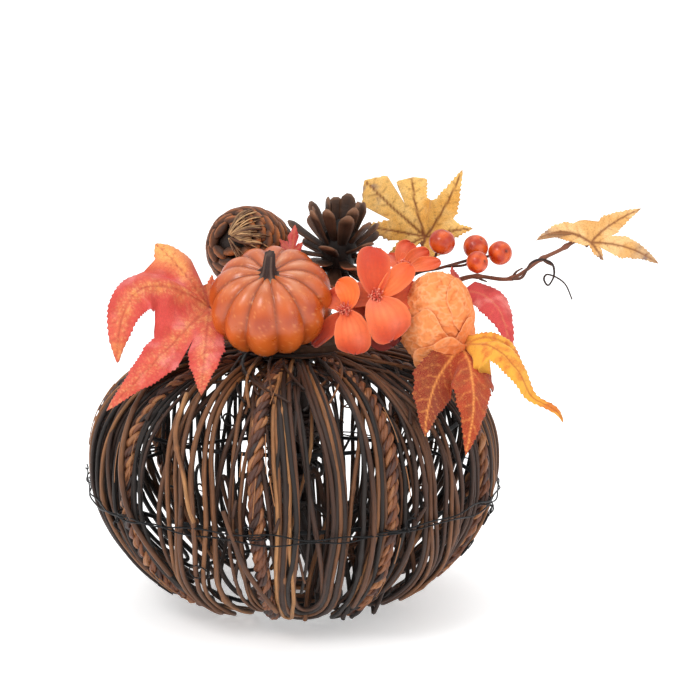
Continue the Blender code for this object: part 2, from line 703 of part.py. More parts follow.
def wrap():
    """A cupped outer petal that hugs the bud's lower front."""
    bm = bmesh.new()
    mid = Vector((-0.22, -0.62, -0.75)).normalized()
    spin = aim(mid)
    n, rows = 12, 3
    layers = []
    for scale in (1.05, 1.11):
        grid = [[spin @ Vector((0, 0, 1))]]
        for j in range(1, rows + 1):
            a = radians(52) * j / rows
            grid.append([spin @ Vector((sin(a) * cos(2 * pi * i / n), sin(a) * sin(2 * pi * i / n), cos(a))) for i in range(n)])
        layers.append([[bm.verts.new(BUD_AT + Vector((d.x * BUD_HALF.x, d.y * BUD_HALF.y, d.z * BUD_HALF.z)) * scale) for d in row] for row in grid])
    for li, g in enumerate(layers):
        for i in range(n):
            j = (i + 1) % n
            f = [g[0][0], g[1][i], g[1][j]]
            bm.faces.new(f if li else list(reversed(f)))
            for a, b in zip(g[1:-1], g[2:]):
                f = [a[i], b[i], b[j], a[j]]
                bm.faces.new(f if li else list(reversed(f)))
    a, b = layers[0][-1], layers[1][-1]
    for i in range(n):
        j = (i + 1) % n
        bm.faces.new((a[i], b[i], b[j], a[j]))
    return bm


add_object("paper_bud_wrap", wrap(), "bud_paper")

# ---------------------------------------------------------------- berry spray
BERRY_STEM = [(0.034, -0.004, 0.160), (0.0575, -0.016, 0.185), (0.069, -0.008, 0.1956), (0.0836, 0.0, 0.1978), (0.101, 0.008, 0.2012), (0.1125, 0.008, 0.2034)]
# centre, radius, how far along the stem its stalk springs
BERRIES = [((0.0844, -0.005, 0.2137), 0.0075, 0.62), ((0.104, 0.003, 0.2094), 0.0072, 0.86), ((0.1177, 0.0, 0.2065), 0.0069, 1.0), ((0.1039, -0.0155, 0.2039), 0.0063, 0.73)]
stem_pts = smooth_route(BERRY_STEM, 12)
add_object("berry_stem", tube(stem_pts, None, lambda f: 0.0013 - 0.0004 * f, 6), "twig", origin=BERRY_STEM[0])
for k, (centre, radius, where) in enumerate(BERRIES):
    c = Vector(centre)
    near = smooth_route(BERRY_STEM, 101)[round(100 * where)]
    # the stalk runs from the stem to the berry and is moulded in one with it
    axis = (c - near).normalized()
    d = (c - near).length
    foot = -(d - 0.0013 - 2 * GAP)
    rr, neck = radius, 0.0008
    if -foot > radius + 0.0004:
        prof = [(0, foot), (neck, foot + 0.00001), (neck, -radius * 0.98)]
    else:
        prof = [(0, -radius)]
    prof += [(rr * sin(pi * j / 6), -rr * cos(pi * j / 6)) for j in range(1, 6)] + [(0, rr)]
    add_object(f"berry_{k + 1}", lathe(prof, c, axis, 10), "berry", origin=BERRY_STEM[0])

# ---------------------------------------------------------------- twig and tendril
TWIG = [(0.036, 0.012, 0.1605), (0.070, 0.012, 0.176), (0.0996, 0.008, 0.191), (0.1236, 0.001, 0.1915), (0.1405, 0.0, 0.2025), (0.1518, 0.0, 0.2082), (0.162, 0.0, 0.214), (0.1677, 0.0, 0.2105)]
TENDRIL = [(0.1245, -0.0022, 0.1917), (0.1302, -0.004, 0.1932), (0.1349, -0.005, 0.2013), (0.1408, -0.005, 0.2036), (0.1468, -0.004, 0.2013), (0.1486, -0.002, 0.1961), (0.1479, 0.0, 0.1912), (0.1454, 0.001, 0.1876), (0.143, 0.0, 0.1912), (0.1444, -0.002, 0.1944), (0.1498, -0.005, 0.1932), (0.1549, -0.006, 0.1891), (0.1587, -0.006, 0.1807)]
add_object("twig", tube(smooth_route(TWIG, 16), None, lambda f: PICK_STEM_R - 0.0003 * f, 6), "twig", origin=TWIG[0])
add_object("tendril", tube(smooth_route(TENDRIL, 40), None, lambda f: 0.00075 - 0.0002 * f, 5), "twig", origin=TWIG[0])
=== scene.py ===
"""Looks of the woven vine pumpkin decoration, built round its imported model."""

import math
from math import sin, cos, pi, radians, sqrt, exp, atan2

import bpy
import numpy as np
from mathutils import Vector, Matrix, noise
from mathutils.geometry import delaunay_2d_cdt


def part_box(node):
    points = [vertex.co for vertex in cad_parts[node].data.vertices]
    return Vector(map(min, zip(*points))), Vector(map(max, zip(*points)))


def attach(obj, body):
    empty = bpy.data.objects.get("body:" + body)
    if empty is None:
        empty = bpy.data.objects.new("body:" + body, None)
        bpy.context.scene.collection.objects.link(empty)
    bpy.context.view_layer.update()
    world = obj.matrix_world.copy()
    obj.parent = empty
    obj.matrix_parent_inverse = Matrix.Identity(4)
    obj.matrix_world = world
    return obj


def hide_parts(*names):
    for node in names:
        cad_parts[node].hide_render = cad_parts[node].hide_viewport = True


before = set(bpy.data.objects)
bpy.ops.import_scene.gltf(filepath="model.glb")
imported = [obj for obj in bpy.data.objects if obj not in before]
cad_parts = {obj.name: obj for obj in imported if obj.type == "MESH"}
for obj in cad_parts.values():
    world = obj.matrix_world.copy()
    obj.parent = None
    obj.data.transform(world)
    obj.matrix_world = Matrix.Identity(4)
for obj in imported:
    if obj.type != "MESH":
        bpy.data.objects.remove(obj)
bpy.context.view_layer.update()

# ------------------------------------------------------------------ small helpers
def lin(h):
    h = h.lstrip("#")
    c = [int(h[i : i + 2], 16) / 255 for i in (0, 2, 4)]
    return np.array([x / 12.92 if x <= 0.04045 else ((x + 0.055) / 1.055) ** 2.4 for x in c])


def unit(v):
    v = np.asarray(v, float)
    return v / (np.linalg.norm(v) + 1e-12)


def mixc(a, b, t):
    t = np.clip(np.asarray(t, float), 0, 1)[..., None]
    return np.asarray(a) * (1 - t) + np.asarray(b) * t


def smooth01(x):
    x = np.clip(x, 0, 1)
    return x * x * (3 - 2 * x)


def wobble(n, amp, waves, rng):
    """A smooth random curve of n values."""
    t = np.linspace(0, 1, n)
    out = np.zeros(n)
    for k in range(1, waves + 1):
        out += rng.normal() * np.sin(pi * k * t + rng.uniform(0, 6.28)) / k ** 0.7
    return out * amp * 0.6


def spline(points, count):
    """Catmull-Rom through points, evenly spaced."""
    p = np.asarray(points, float)
    full = np.vstack([2 * p[0] - p[1], p, 2 * p[-1] - p[-2]])
    t = np.linspace(0, 1, 24, endpoint=False)[:, None]
    fine = []
    for i in range(1, len(full) - 2):
        a, b, c, d = full[i - 1 : i + 3]
        fine.append(0.5 * (2 * b + (c - a) * t + (2 * a - 5 * b + 4 * c - d) * t ** 2 + (3 * b - a - 3 * c + d) * t ** 3))
    fine.append(p[-1:])
    fine = np.vstack(fine)
    s = np.concatenate([[0], np.cumsum(np.linalg.norm(np.diff(fine, axis=0), axis=1))])
    q = np.linspace(0, s[-1], count)
    return np.stack([np.interp(q, s, fine[:, k]) for k in range(3)], 1)


class Build:
    """Collects vertices, faces, a colour and a flow coordinate (along, across) per vertex."""

    def __init__(self):
        self.v, self.f, self.c, self.w, self.n = [], [], [], [], 0

    def add(self, v, faces, col, flow=None):
        v = np.asarray(v, float)
        self.v.append(v)
        self.f.extend([tuple(int(i) + self.n for i in q) for q in faces])
        col = np.asarray(col, float)
        self.c.append(np.broadcast_to(col, (len(v), 3)) if col.ndim == 1 else col)
        self.w.append(v * 100 if flow is None else flow)
        self.n += len(v)

    def tube(self, pts, rad, sides, col, phase=0.0, flat=None):
        """pts (n,3), rad scalar, (n,) or (n,sides), col (3,) or (n,3)."""
        pts = np.asarray(pts, float)
        n = len(pts)
        t = np.gradient(pts, axis=0)
        t /= np.linalg.norm(t, axis=1)[:, None] + 1e-12
        nn = np.zeros_like(pts)
        a = np.array([0, 0, 1.0]) if abs(t[0][2]) < 0.9 else np.array([1.0, 0, 0])
        q = a - t[0] * (a @ t[0])
        nn[0] = q / np.linalg.norm(q)
        for i in range(1, n):
            q = nn[i - 1] - t[i] * (nn[i - 1] @ t[i])
            nn[i] = q / (np.linalg.norm(q) + 1e-12)
        bb = np.cross(t, nn)
        ang = 2 * pi * np.arange(sides) / sides
        rad = np.asarray(rad, float)
        if rad.ndim == 0:
            rad = np.full(n, float(rad))
        if rad.ndim == 1:
            rad = rad[:, None] * np.ones(sides)
        ph = phase if np.ndim(phase) else np.full(n, phase)
        ca, sa = np.cos(ang[None] + ph[:, None]), np.sin(ang[None] + ph[:, None])
        v = pts[:, None] + rad[..., None] * (ca[..., None] * nn[:, None] + sa[..., None] * bb[:, None])
        v = v.reshape(-1, 3)
        i = np.arange(n - 1)[:, None] * sides
        k = np.arange(sides)[None]
        j = (k + 1) % sides
        quads = np.stack([i + k, i + j, i + sides + j, i + sides + k], -1).reshape(-1, 4)
        faces = [tuple(x) for x in quads.tolist()]
        faces.append(tuple(range(sides - 1, -1, -1)))
        faces.append(tuple(range((n - 1) * sides, n * sides)))
        s = np.concatenate([[0], np.cumsum(np.linalg.norm(np.diff(pts, axis=0), axis=1))])
        off = self.n * 0.37 % 50
        flow = np.stack(
            [np.repeat(s * 100 + off, sides), np.tile(np.cos(ang), n), np.tile(np.sin(ang), n)], 1
        )
        col = np.asarray(col, float)
        if col.ndim == 2:
            col = np.repeat(col, sides, axis=0)
        self.add(v, faces, col, flow)

    def ball(self, centre, radii, spin, col, rows=6, cols=8, shape=None):
        """An ellipsoid, with shape(points on the unit ball) moving its points first."""
        th = np.linspace(0, pi, rows + 1)[1:-1]
        ph = 2 * pi * np.arange(cols) / cols
        g = np.stack([np.outer(np.sin(th), np.cos(ph)), np.outer(np.sin(th), np.sin(ph)), np.outer(np.cos(th), np.ones(cols))], -1).reshape(-1, 3)
        p = np.vstack([[0, 0, 1], g, [0, 0, -1]])
        if shape is not None:
            p = shape(p)
        v = (p * np.asarray(radii)) @ np.asarray(spin).T + np.asarray(centre)
        faces = []
        for k in range(cols):
            j = (k + 1) % cols
            faces.append((0, 1 + k, 1 + j))
            for r in range(rows - 2):
                a = 1 + r * cols
                faces.append((a + k, a + cols + k, a + cols + j, a + j))
            a = 1 + (rows - 2) * cols
            faces.append((a + k, len(p) - 1, a + j))
        self.add(v, faces, col(p) if callable(col) else col)

    def grid(self, v, col, flow=None):
        """v (a,b,3) as an open sheet."""
        a, b = v.shape[:2]
        i, k = np.meshgrid(np.arange(a - 1), np.arange(b - 1), indexing="ij")
        q = np.stack([i * b + k, (i + 1) * b + k, (i + 1) * b + k + 1, i * b + k + 1], -1).reshape(-1, 4)
        col = np.asarray(col)
        self.add(v.reshape(-1, 3), [tuple(x) for x in q.tolist()], col.reshape(-1, 3) if col.ndim == 3 else col,
                 None if flow is None else flow.reshape(-1, 3))

    def finish(self, name, mat, body, replaces=(), smooth=True, painted_shade=0.0):
        """The last argument paints shade into the colour: it darkens what faces in towards the cage's axis, the shade
        that falls between the vines.
        """
        me = bpy.data.meshes.new(name)
        v = np.vstack(self.v)
        me.from_pydata(v.tolist(), [], self.f)
        c = np.ones((len(v), 4))
        c[:, :3] = np.clip(np.vstack(self.c), 0, 1)
        # painted shade: the colour is darkened on the sides that face in towards the cage's axis
        if painted_shade:
            nor = np.empty(len(v) * 3, np.float32)
            me.vertex_normals.foreach_get("vector", nor)
            away = v - np.array([0, 0, 0.080])
            away /= np.linalg.norm(away, axis=1)[:, None] + 1e-9
            face = (nor.reshape(-1, 3) * away).sum(1)
            c[:, :3] *= (1 - painted_shade * (1 - smooth01((face + 0.35) / 1.20)))[:, None]
        att = me.color_attributes.new("Col", "FLOAT_COLOR", "POINT")
        att.data.foreach_set("color", c.astype(np.float32).ravel())
        w = me.attributes.new("flow", "FLOAT_VECTOR", "POINT")
        w.data.foreach_set("vector", np.vstack(self.w).astype(np.float32).ravel())
        me.validate()
        if smooth:
            me.shade_smooth()
        me.materials.append(mat)
        ob = bpy.data.objects.new(name, me)
        bpy.context.scene.collection.objects.link(ob)
        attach(ob, body)
        if replaces:
            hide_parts(*replaces)
        return ob


# ------------------------------------------------------------------ materials
def surface(name, colour=None, var=0.25, scale=(1.0, 1.0, 1.0), rough=(0.6, 0.8), bump=0.4, depth=0.0004, metal=0.0,
            space="flow", tint=None, detail=6.0, spec=0.35, sheen=0.0, coat=0.0, weave=None, fine=None):
    """A procedural surface: vertex colour or a fixed colour, mottled by noise, with bump."""
    m = bpy.data.materials.new(name)
    m.use_nodes = True
    nt = m.node_tree
    N, L = nt.nodes, nt.links
    b = N["Principled BSDF"]

    def new(kind, **kw):
        n = N.new(kind)
        for k, v in kw.items():
            setattr(n, k, v)
        return n

    if space == "flow":
        vec = new("ShaderNodeAttribute", attribute_name="flow").outputs["Vector"]
    else:
        vec = new("ShaderNodeTexCoord").outputs["Object"]
    mp = new("ShaderNodeMapping")
    mp.inputs["Scale"].default_value = scale
    L.new(vec, mp.inputs["Vector"])
    nz = new("ShaderNodeTexNoise")
    nz.inputs["Scale"].default_value = 1.0
    nz.inputs["Detail"].default_value = detail
    nz.inputs["Roughness"].default_value = 0.62
    L.new(mp.outputs["Vector"], nz.inputs["Vector"])
    if colour is None:
        base = new("ShaderNodeAttribute", attribute_name="Col").outputs["Color"]
    else:
        rgb = new("ShaderNodeRGB")
        rgb.outputs[0].default_value = (*colour, 1)
        base = rgb.outputs[0]
    ramp = new("ShaderNodeMapRange")
    ramp.inputs["From Min"].default_value = 0.3
    ramp.inputs["From Max"].default_value = 0.7
    ramp.inputs["To Min"].default_value = 1 - var
    ramp.inputs["To Max"].default_value = 1 + var
    L.new(nz.outputs["Fac"], ramp.inputs["Value"])
    mul = new("ShaderNodeVectorMath", operation="SCALE")
    L.new(base, mul.inputs[0])
    L.new(ramp.outputs["Result"], mul.inputs["Scale"])
    out = mul.outputs["Vector"]
    if tint is not None:
        n2 = new("ShaderNodeTexNoise")
        n2.inputs["Scale"].default_value = tint[1]
        n2.inputs["Detail"].default_value = 3.0
        L.new(vec, n2.inputs["Vector"])
        mr = new("ShaderNodeMapRange")
        mr.inputs["From Min"].default_value = 0.5
        mr.inputs["From Max"].default_value = 0.72
        mr.inputs["To Max"].default_value = tint[2]
        L.new(n2.outputs["Fac"], mr.inputs["Value"])
        mx = new("ShaderNodeMix", data_type="RGBA")
        L.new(mr.outputs["Result"], mx.inputs["Factor"])
        L.new(out, mx.inputs["A"])
        mx.inputs["B"].default_value = (*tint[0], 1)
        out = mx.outputs["Result"]
    L.new(out, b.inputs["Base Color"])
    rr = new("ShaderNodeMapRange")
    rr.inputs["From Min"].default_value = 0.3
    rr.inputs["From Max"].default_value = 0.7
    rr.inputs["To Min"].default_value = rough[0]
    rr.inputs["To Max"].default_value = rough[1]
    L.new(nz.outputs["Fac"], rr.inputs["Value"])
    L.new(rr.outputs["Result"], b.inputs["Roughness"])
    b.inputs["Metallic"].default_value = metal
    b.inputs["Specular IOR Level"].default_value = spec
    b.inputs["Sheen Weight"].default_value = sheen
    b.inputs["Coat Weight"].default_value = coat
    if coat:
        b.inputs["Coat Roughness"].default_value = 0.12
    height = nz.outputs["Fac"]
    if weave is not None:      # woven cloth: two crossed waves in the sheet's own plane
        mp2 = new("ShaderNodeMapping")
        mp2.inputs["Scale"].default_value = (weave, weave, weave)
        L.new(vec, mp2.inputs["Vector"])
        waves = []
        for d in ("X", "Y"):
            w = new("ShaderNodeTexWave", wave_type="BANDS", bands_direction=d)
            w.inputs["Scale"].default_value = 1.0
            w.inputs["Distortion"].default_value = 0.6
            L.new(mp2.outputs["Vector"], w.inputs["Vector"])
            waves.append(w.outputs["Fac"])
        mm = new("ShaderNodeMath", operation="MAXIMUM")
        L.new(waves[0], mm.inputs[0])
        L.new(waves[1], mm.inputs[1])
        ad = new("ShaderNodeMath", operation="MULTIPLY_ADD")
        L.new(mm.outputs[0], ad.inputs[0])
        ad.inputs[1].default_value = 0.35
        L.new(height, ad.inputs[2])
        height = ad.outputs[0]
    if fine is not None:
        n3 = new("ShaderNodeTexNoise")
        n3.inputs["Scale"].default_value = fine
        n3.inputs["Detail"].default_value = 4.0
        L.new(mp.outputs["Vector"], n3.inputs["Vector"])
        ad = new("ShaderNodeMath", operation="MULTIPLY_ADD")
        L.new(n3.outputs["Fac"], ad.inputs[0])
        ad.inputs[1].default_value = 0.5
        L.new(height, ad.inputs[2])
        height = ad.outputs[0]
    bp = new("ShaderNodeBump")
    bp.inputs["Strength"].default_value = bump
    bp.inputs["Distance"].default_value = depth
    L.new(height, bp.inputs["Height"])
    L.new(bp.outputs["Normal"], b.inputs["Normal"])
    return m


M = {
    "vine": surface("vine_bark", var=0.55, scale=(1.3, 2.6, 2.6), rough=(0.40, 0.66), bump=0.7, depth=0.0006, fine=3.0, spec=0.42),
    "rope": surface("rope_bark", var=0.45, scale=(1.0, 3.0, 3.0), rough=(0.36, 0.6), bump=0.6, depth=0.0006, fine=2.5, spec=0.55),
    "wire": surface("black_wire", colour=(0.012, 0.012, 0.013), var=0.3, scale=(60, 60, 60), rough=(0.35, 0.55), metal=0.6, bump=0.15, depth=0.0001, space="object"),
    "foam": surface("brown_foam", colour=(0.075, 0.042, 0.024), var=0.4, scale=(160, 160, 160), rough=(0.85, 0.98), bump=0.8, depth=0.0008, space="object", fine=4.0),
    "pumpkin": surface("pumpkin_paint", var=0.07, scale=(90, 90, 90), rough=(0.25, 0.38), bump=0.22, depth=0.0004, space="object", spec=0.6, fine=5.0),
    "stem": surface("dark_stem_paint", var=0.35, scale=(120, 120, 300), rough=(0.45, 0.65), bump=0.45, depth=0.0006, space="object", fine=4.0),
    "cone": surface("cone_scale", var=0.35, scale=(220, 220, 220), rough=(0.45, 0.72), bump=0.5, depth=0.0005, space="object", fine=3.0),
    "petal": surface("silk_petal", var=0.10, scale=(6, 6, 6), rough=(0.55, 0.75), bump=0.25, depth=0.00016, weave=70.0, spec=0.25, sheen=0.35),
    "stamen": surface("stamen_thread", var=0.2, scale=(3, 1, 1), rough=(0.5, 0.7), bump=0.2, depth=0.0001),
    "paper": surface("crumpled_paper", var=0.12, scale=(420, 420, 420), rough=(0.72, 0.9), bump=0.55, depth=0.00035, space="object", spec=0.2, fine=3.0),
    "berry": surface("berry_lacquer", var=0.16, scale=(160, 160, 160), rough=(0.24, 0.34), bump=0.05, depth=0.0003, space="object", spec=0.5, coat=0.0),
    "twig": surface("wrapped_twig", var=0.35, scale=(3.0, 1.6, 1.6), rough=(0.5, 0.72), bump=0.55, depth=0.0004, fine=3.0),
}

# ------------------------------------------------------------------ the cage's profile (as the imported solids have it)
CAGE_H, CAGE_R, BELLY_Z, CROWN_R, FOOT_R = 0.152, 0.1180, 0.083, 0.020, 0.030
LOWEST = 0.0019 * cos(pi / 6) - 0.0004


def profile_curve(n=400):
    out = []
    for i in range(n + 1):
        t = pi * i / n
        c, s = cos(t), sin(t)
        if c >= 0:
            out.append((CROWN_R + (CAGE_R - CROWN_R) * abs(s) ** (2 / 2.6), BELLY_Z + (CAGE_H - BELLY_Z) * abs(c) ** (2 / 2.5)))
        else:
            out.append((FOOT_R + (CAGE_R - FOOT_R) * abs(s) ** (2 / 1.85), BELLY_Z - (BELLY_Z - LOWEST) * abs(c) ** (2 / 1.78)))
    return np.array(out)


PROFILE = profile_curve()
ALONG = np.concatenate([[0], np.cumsum(np.linalg.norm(np.diff(PROFILE, axis=0), axis=1))])
LENGTH = ALONG[-1]
TOP_I = int(np.argmax(PROFILE[:, 0]))
BELLY_M = float(ALONG[TOP_I])


def on_profile(m):
    m = np.clip(m, 0, LENGTH)
    r, z = np.interp(m, ALONG, PROFILE[:, 0]), np.interp(m, ALONG, PROFILE[:, 1])
    e = 0.0015
    a, b = np.clip(m - e, 0, LENGTH), np.clip(m + e, 0, LENGTH)
    dr = np.interp(b, ALONG, PROFILE[:, 0]) - np.interp(a, ALONG, PROFILE[:, 0])
    dz = np.interp(b, ALONG, PROFILE[:, 1]) - np.interp(a, ALONG, PROFILE[:, 1])
    d = np.sqrt(dr * dr + dz * dz) + 1e-9
    return r, z, -dz / d, dr / d


def m_at_radius(r, crown):
    if crown:
        return float(np.interp(r, PROFILE[: TOP_I + 1, 0], ALONG[: TOP_I + 1]))
    return float(np.interp(-r, -PROFILE[TOP_I:, 0], ALONG[TOP_I:]))


def cage(m, ang, inset=0.0):
    """Points on the cage at arc lengths m, angles ang (radians) and depths inset."""
    r, z, nr, nz = on_profile(np.asarray(m, float))
    r, z = r - nr * inset, z - nz * inset
    return np.stack([r * np.sin(ang), -r * np.cos(ang), z], -1)


BARK = [lin("#1b100a"), lin("#3f2415"), lin("#603a20"), lin("#80522e"), lin("#a47346")]


def bark_colour(n, rng, light=0.0):
    """Colours along one vine: its own tone, drifting, with darker and paler stretches."""
    base = np.clip(rng.normal(1.45 + light, 1.05), 0, 3.9)
    t = np.clip(base + wobble(n, 0.8, 6, rng), 0, 3.999)
    i = t.astype(int)
    f = (t - i)[:, None]
    pal = np.array(BARK)
    return pal[i] * (1 - f) + pal[np.minimum(i + 1, 4)] * f


def vine_radius(n, r0, rng, knots=4):
    r = r0 * (1 + wobble(n, 0.10, 7, rng))
    x = np.linspace(0, 1, n)
    for _ in range(rng.integers(0, knots + 1)):
        c = rng.uniform(0.05, 0.95)
        r = r + r0 * rng.uniform(0.25, 0.6) * np.exp(-(((x - c) / 0.006) ** 2))
    return np.clip(r, 0.6 * r0, 1.9 * r0)


def hairpin(build, centre, half, end_r, crown_r, crown_w, inset, r0, rng, light=0.0, sides=7, jit=1.0, turn=None, depth=None):
    """A vine down one side of a bundle, round its foot, and up the other side.
    centre = angles (deg) at the crown, the belly and the foot; half = half width at the belly (m)."""
    m0, m1 = m_at_radius(crown_r, True), m_at_radius(end_r, False)
    turn = 0.62 * half if turn is None else turn
    depth = 2.0 * turn if depth is None else depth
    me = m1 - depth
    n = 74
    m = np.linspace(m0, me, n)
    up = (m - m0) / (BELLY_M - m0)
    dn = np.clip((m - BELLY_M) / (me - BELLY_M), 0, 1)
    ang = np.where(m < BELLY_M, centre[0] + (centre[1] - centre[0]) * smooth01(up), centre[1] + (centre[2] - centre[1]) * smooth01(dn))
    wid = np.where(m < BELLY_M, crown_w + (half - crown_w) * np.sin(pi / 2 * np.clip(up, 0, 1)) ** 1.1,
                   turn + (half - turn) * np.cos(pi / 2 * dn) ** 0.9)
    fade = np.minimum(1, np.minimum(up * 4, (1 - dn) * 3 + 0.15))
    a = pi * np.arange(1, 12) / 12
    left = wid + (wobble(n, 0.0017 * jit, 5, rng) + wobble(n, 0.0005 * jit, 17, rng)) * fade
    right = wid + (wobble(n, 0.0017 * jit, 5, rng) + wobble(n, 0.0005 * jit, 17, rng)) * fade
    mm = np.concatenate([m, me + depth * np.sin(a), m[::-1]])
    ww = np.concatenate([left, turn * np.cos(a), -right[::-1]])
    aa = np.concatenate([ang, np.full(11, ang[-1]), ang[::-1]])
    total = len(mm)
    ins = inset + wobble(total, 0.0011 * jit, 9, rng)
    ins = np.clip(ins, -0.0022, 0.012)
    r = on_profile(mm)[0]
    pts = cage(mm, np.radians(aa) + ww / r, ins)
    rad = vine_radius(total, r0, rng)
    pts[:, 2] = np.maximum(pts[:, 2], rad * 0.97)
    build.tube(pts, rad, sides, bark_colour(total, rng, light))


ROPES = [-52.0, -9.0, 29.0, 68.0, 108.0, 148.0, 188.0, 228.0, 268.0]

# Each bundle of nested loops between two ropes: angles at crown, belly and foot, half width at the
# belly (m), how many loops, how far apart they lie (m), the outer loop's foot radius, step inwards.
BUNDLES = [
    dict(c=(-34, -27.5, -37), half=0.0150, n=3, gap=0.0052, end=0.046, step=0.011),
    dict(c=(2, 6.9, 6.0), half=0.0182, n=5, gap=0.0022, end=0.052, step=0.0070),
    dict(c=(44, 45, 55), half=0.0170, n=4, gap=0.0044, end=0.055, step=0.009),
    dict(c=(86, 86, 84), half=0.0190, n=4, gap=0.0045, end=0.056, step=0.010),
    dict(c=(126, 128, 130), half=0.0190, n=4, gap=0.0045, end=0.052, step=0.010),
    dict(c=(168, 168, 164), half=0.0190, n=4, gap=0.0045, end=0.050, step=0.010),
    dict(c=(208, 208, 212), half=0.0190, n=4, gap=0.0045, end=0.052, step=0.010),
    dict(c=(248, 247, 246), half=0.0190, n=4, gap=0.0045, end=0.054, step=0.010),
    dict(c=(288, 286, 290), half=0.0190, n=4, gap=0.0045, end=0.052, step=0.010),
]

for k, row in enumerate(BUNDLES):
    rng = np.random.default_rng(100 + k)
    start = ROPES[k]
    end = ROPES[(k + 1) % 9] + (360 if k == 8 else 0)
    # the wide loops
    b = Build()
    for j in range(row["n"]):
        shift = rng.normal(0, 0.25 if k == 1 else 0.6, 3)
        hairpin(b, (row["c"][0] + shift[0], row["c"][1] + shift[1], row["c"][2] + shift[2]),
                row["half"] - j * row["gap"], row["end"] + j * row["step"] + rng.uniform(-0.002, 0.002),
                rng.uniform(0.022, 0.042), rng.uniform(0.0015, 0.006), rng.uniform(-0.0006, 0.0026),
                rng.uniform(0.00120, 0.00155), rng, light=0.45 if k == 1 else 0.25 if k == 0 else 0.0, jit=0.45 if k == 1 else 0.9,
                turn=(row["half"] - j * row["gap"]) * 0.95 if k == 1 else None,
                depth=0.062 - 0.008 * j if k == 1 else None)
    # painted shade on the loops' inward sides
    b.finish(f"vine_bundle_{k + 1}_wide", M["vine"], "cage", (f"vine_loop_{2 * k + 1:02d}",), painted_shade=0.72)
    # the slim loops beside the ropes
    b = Build()
    for side, frac in ((0, 0.13), (1, 0.87)):
        at = start + frac * (end - start)
        if k == 1 and side == 0:
            at = start + 0.08 * (end - start) + 3.0
        for j in range(2):
            half = rng.uniform(0.0040, 0.0062) - 0.0018 * j
            lean = rng.uniform(-6, 6)
            hairpin(b, (at + lean, at + rng.normal(0, 0.9), at - lean * 0.6), half, rng.uniform(0.058, 0.090), rng.uniform(0.028, 0.046),
                    0.002, rng.uniform(0.0006, 0.0048), rng.uniform(0.00100, 0.00145), rng, light=-0.1)
    # painted shade on the loops' inward sides
    b.finish(f"vine_bundle_{k + 1}_slim", M["vine"], "cage", (f"vine_loop_{2 * k + 2:02d}",), painted_shade=0.72)

# ------------------------------------------------------------------ twisted bark ropes
ROPE_PAL = [lin("#241009"), lin("#4b2616"), lin("#74401f"), lin("#a06a40")]
for k, ang in enumerate(ROPES):
    rng = np.random.default_rng(300 + k)
    b = Build()
    m0, m1 = m_at_radius(0.030, True), m_at_radius(0.062, False)
    n = 300
    m = np.linspace(m0, m1, n)
    f = np.linspace(0, 1, n)
    centre = cage(m, np.radians(ang + wobble(n, 0.9, 4, rng)), 0.0026 + 0.0010 * np.sin(pi * f))
    t = np.gradient(centre, axis=0)
    t /= np.linalg.norm(t, axis=1)[:, None]
    out = centre * np.array([1, 1, 0])
    nr = on_profile(m)
    out = np.stack([nr[2] * sin(radians(ang)), -nr[2] * cos(radians(ang)), nr[3]], 1)
    side = np.cross(t, out)
    turns = LENGTH / 0.0245
    for ply in range(3):
        a = 2 * pi * (turns * f + ply / 3)
        swell = 0.9 + 0.1 * np.sin(2 * pi * f * 5 + ply)
        taper = np.clip(np.minimum(f * 10, (1 - f) * 14) + 0.55, 0, 1)
        rr = 0.00245 * swell * taper
        path = centre + (np.cos(a) * rr)[:, None] * out + (np.sin(a) * rr)[:, None] * side
        for strand in range(4):
            sa = a * -0.55 + 2 * pi * strand / 4 + ply
            q = 0.00120 * taper * (1 + wobble(n, 0.10, 8, rng))
            p2 = path + (np.cos(sa) * q)[:, None] * out + (np.sin(sa) * q)[:, None] * side
            tone = np.clip(1.45 + rng.normal(0, 0.75) + wobble(n, 0.6, 12, rng), 0, 2.999)
            i = tone.astype(int)
            pal = np.array(ROPE_PAL)
            col = pal[i] * (1 - (tone - i)[:, None]) + pal[i + 1] * (tone - i)[:, None]
            b.tube(p2, 0.00128 * taper * (1 + wobble(n, 0.12, 14, rng)), 6, col)
    for _ in range(5):         # loose fibres
        c = rng.uniform(0.1, 0.85)
        mm = np.linspace(m0 + (m1 - m0) * c, m0 + (m1 - m0) * min(1, c + rng.uniform(0.05, 0.12)), 14)
        g = rng.uniform(-4.2, 4.2)
        b.tube(cage(mm, np.radians(ang + g + np.linspace(0, rng.uniform(-2, 2), 14)), -0.0012 + np.zeros(14)), 0.00028, 4, ROPE_PAL[3])
    b.finish(f"bark_rope_{k + 1}_plies", M["rope"], "cage", (f"bark_rope_{k + 1}",))

# ------------------------------------------------------------------ stray vines, curls and what shows inside
b = Build()
rng = np.random.default_rng(55)


def stray(m_a, m_b, a_a, a_b, inset, r0, light=0.0, n=46, bow=0.0):
    m = np.linspace(m_a, m_b, n)
    t = np.linspace(0, 1, n)
    ang = np.radians(a_a + (a_b - a_a) * t + bow * np.sin(pi * t) + wobble(n, 0.8, 4, rng))
    pts = cage(m, ang, inset + wobble(n, 0.0012, 4, rng))
    rad = vine_radius(n, r0, rng, 3)
    pts[:, 2] = np.maximum(pts[:, 2], rad)
    b.tube(pts, rad, 7, bark_colour(n, rng, light))


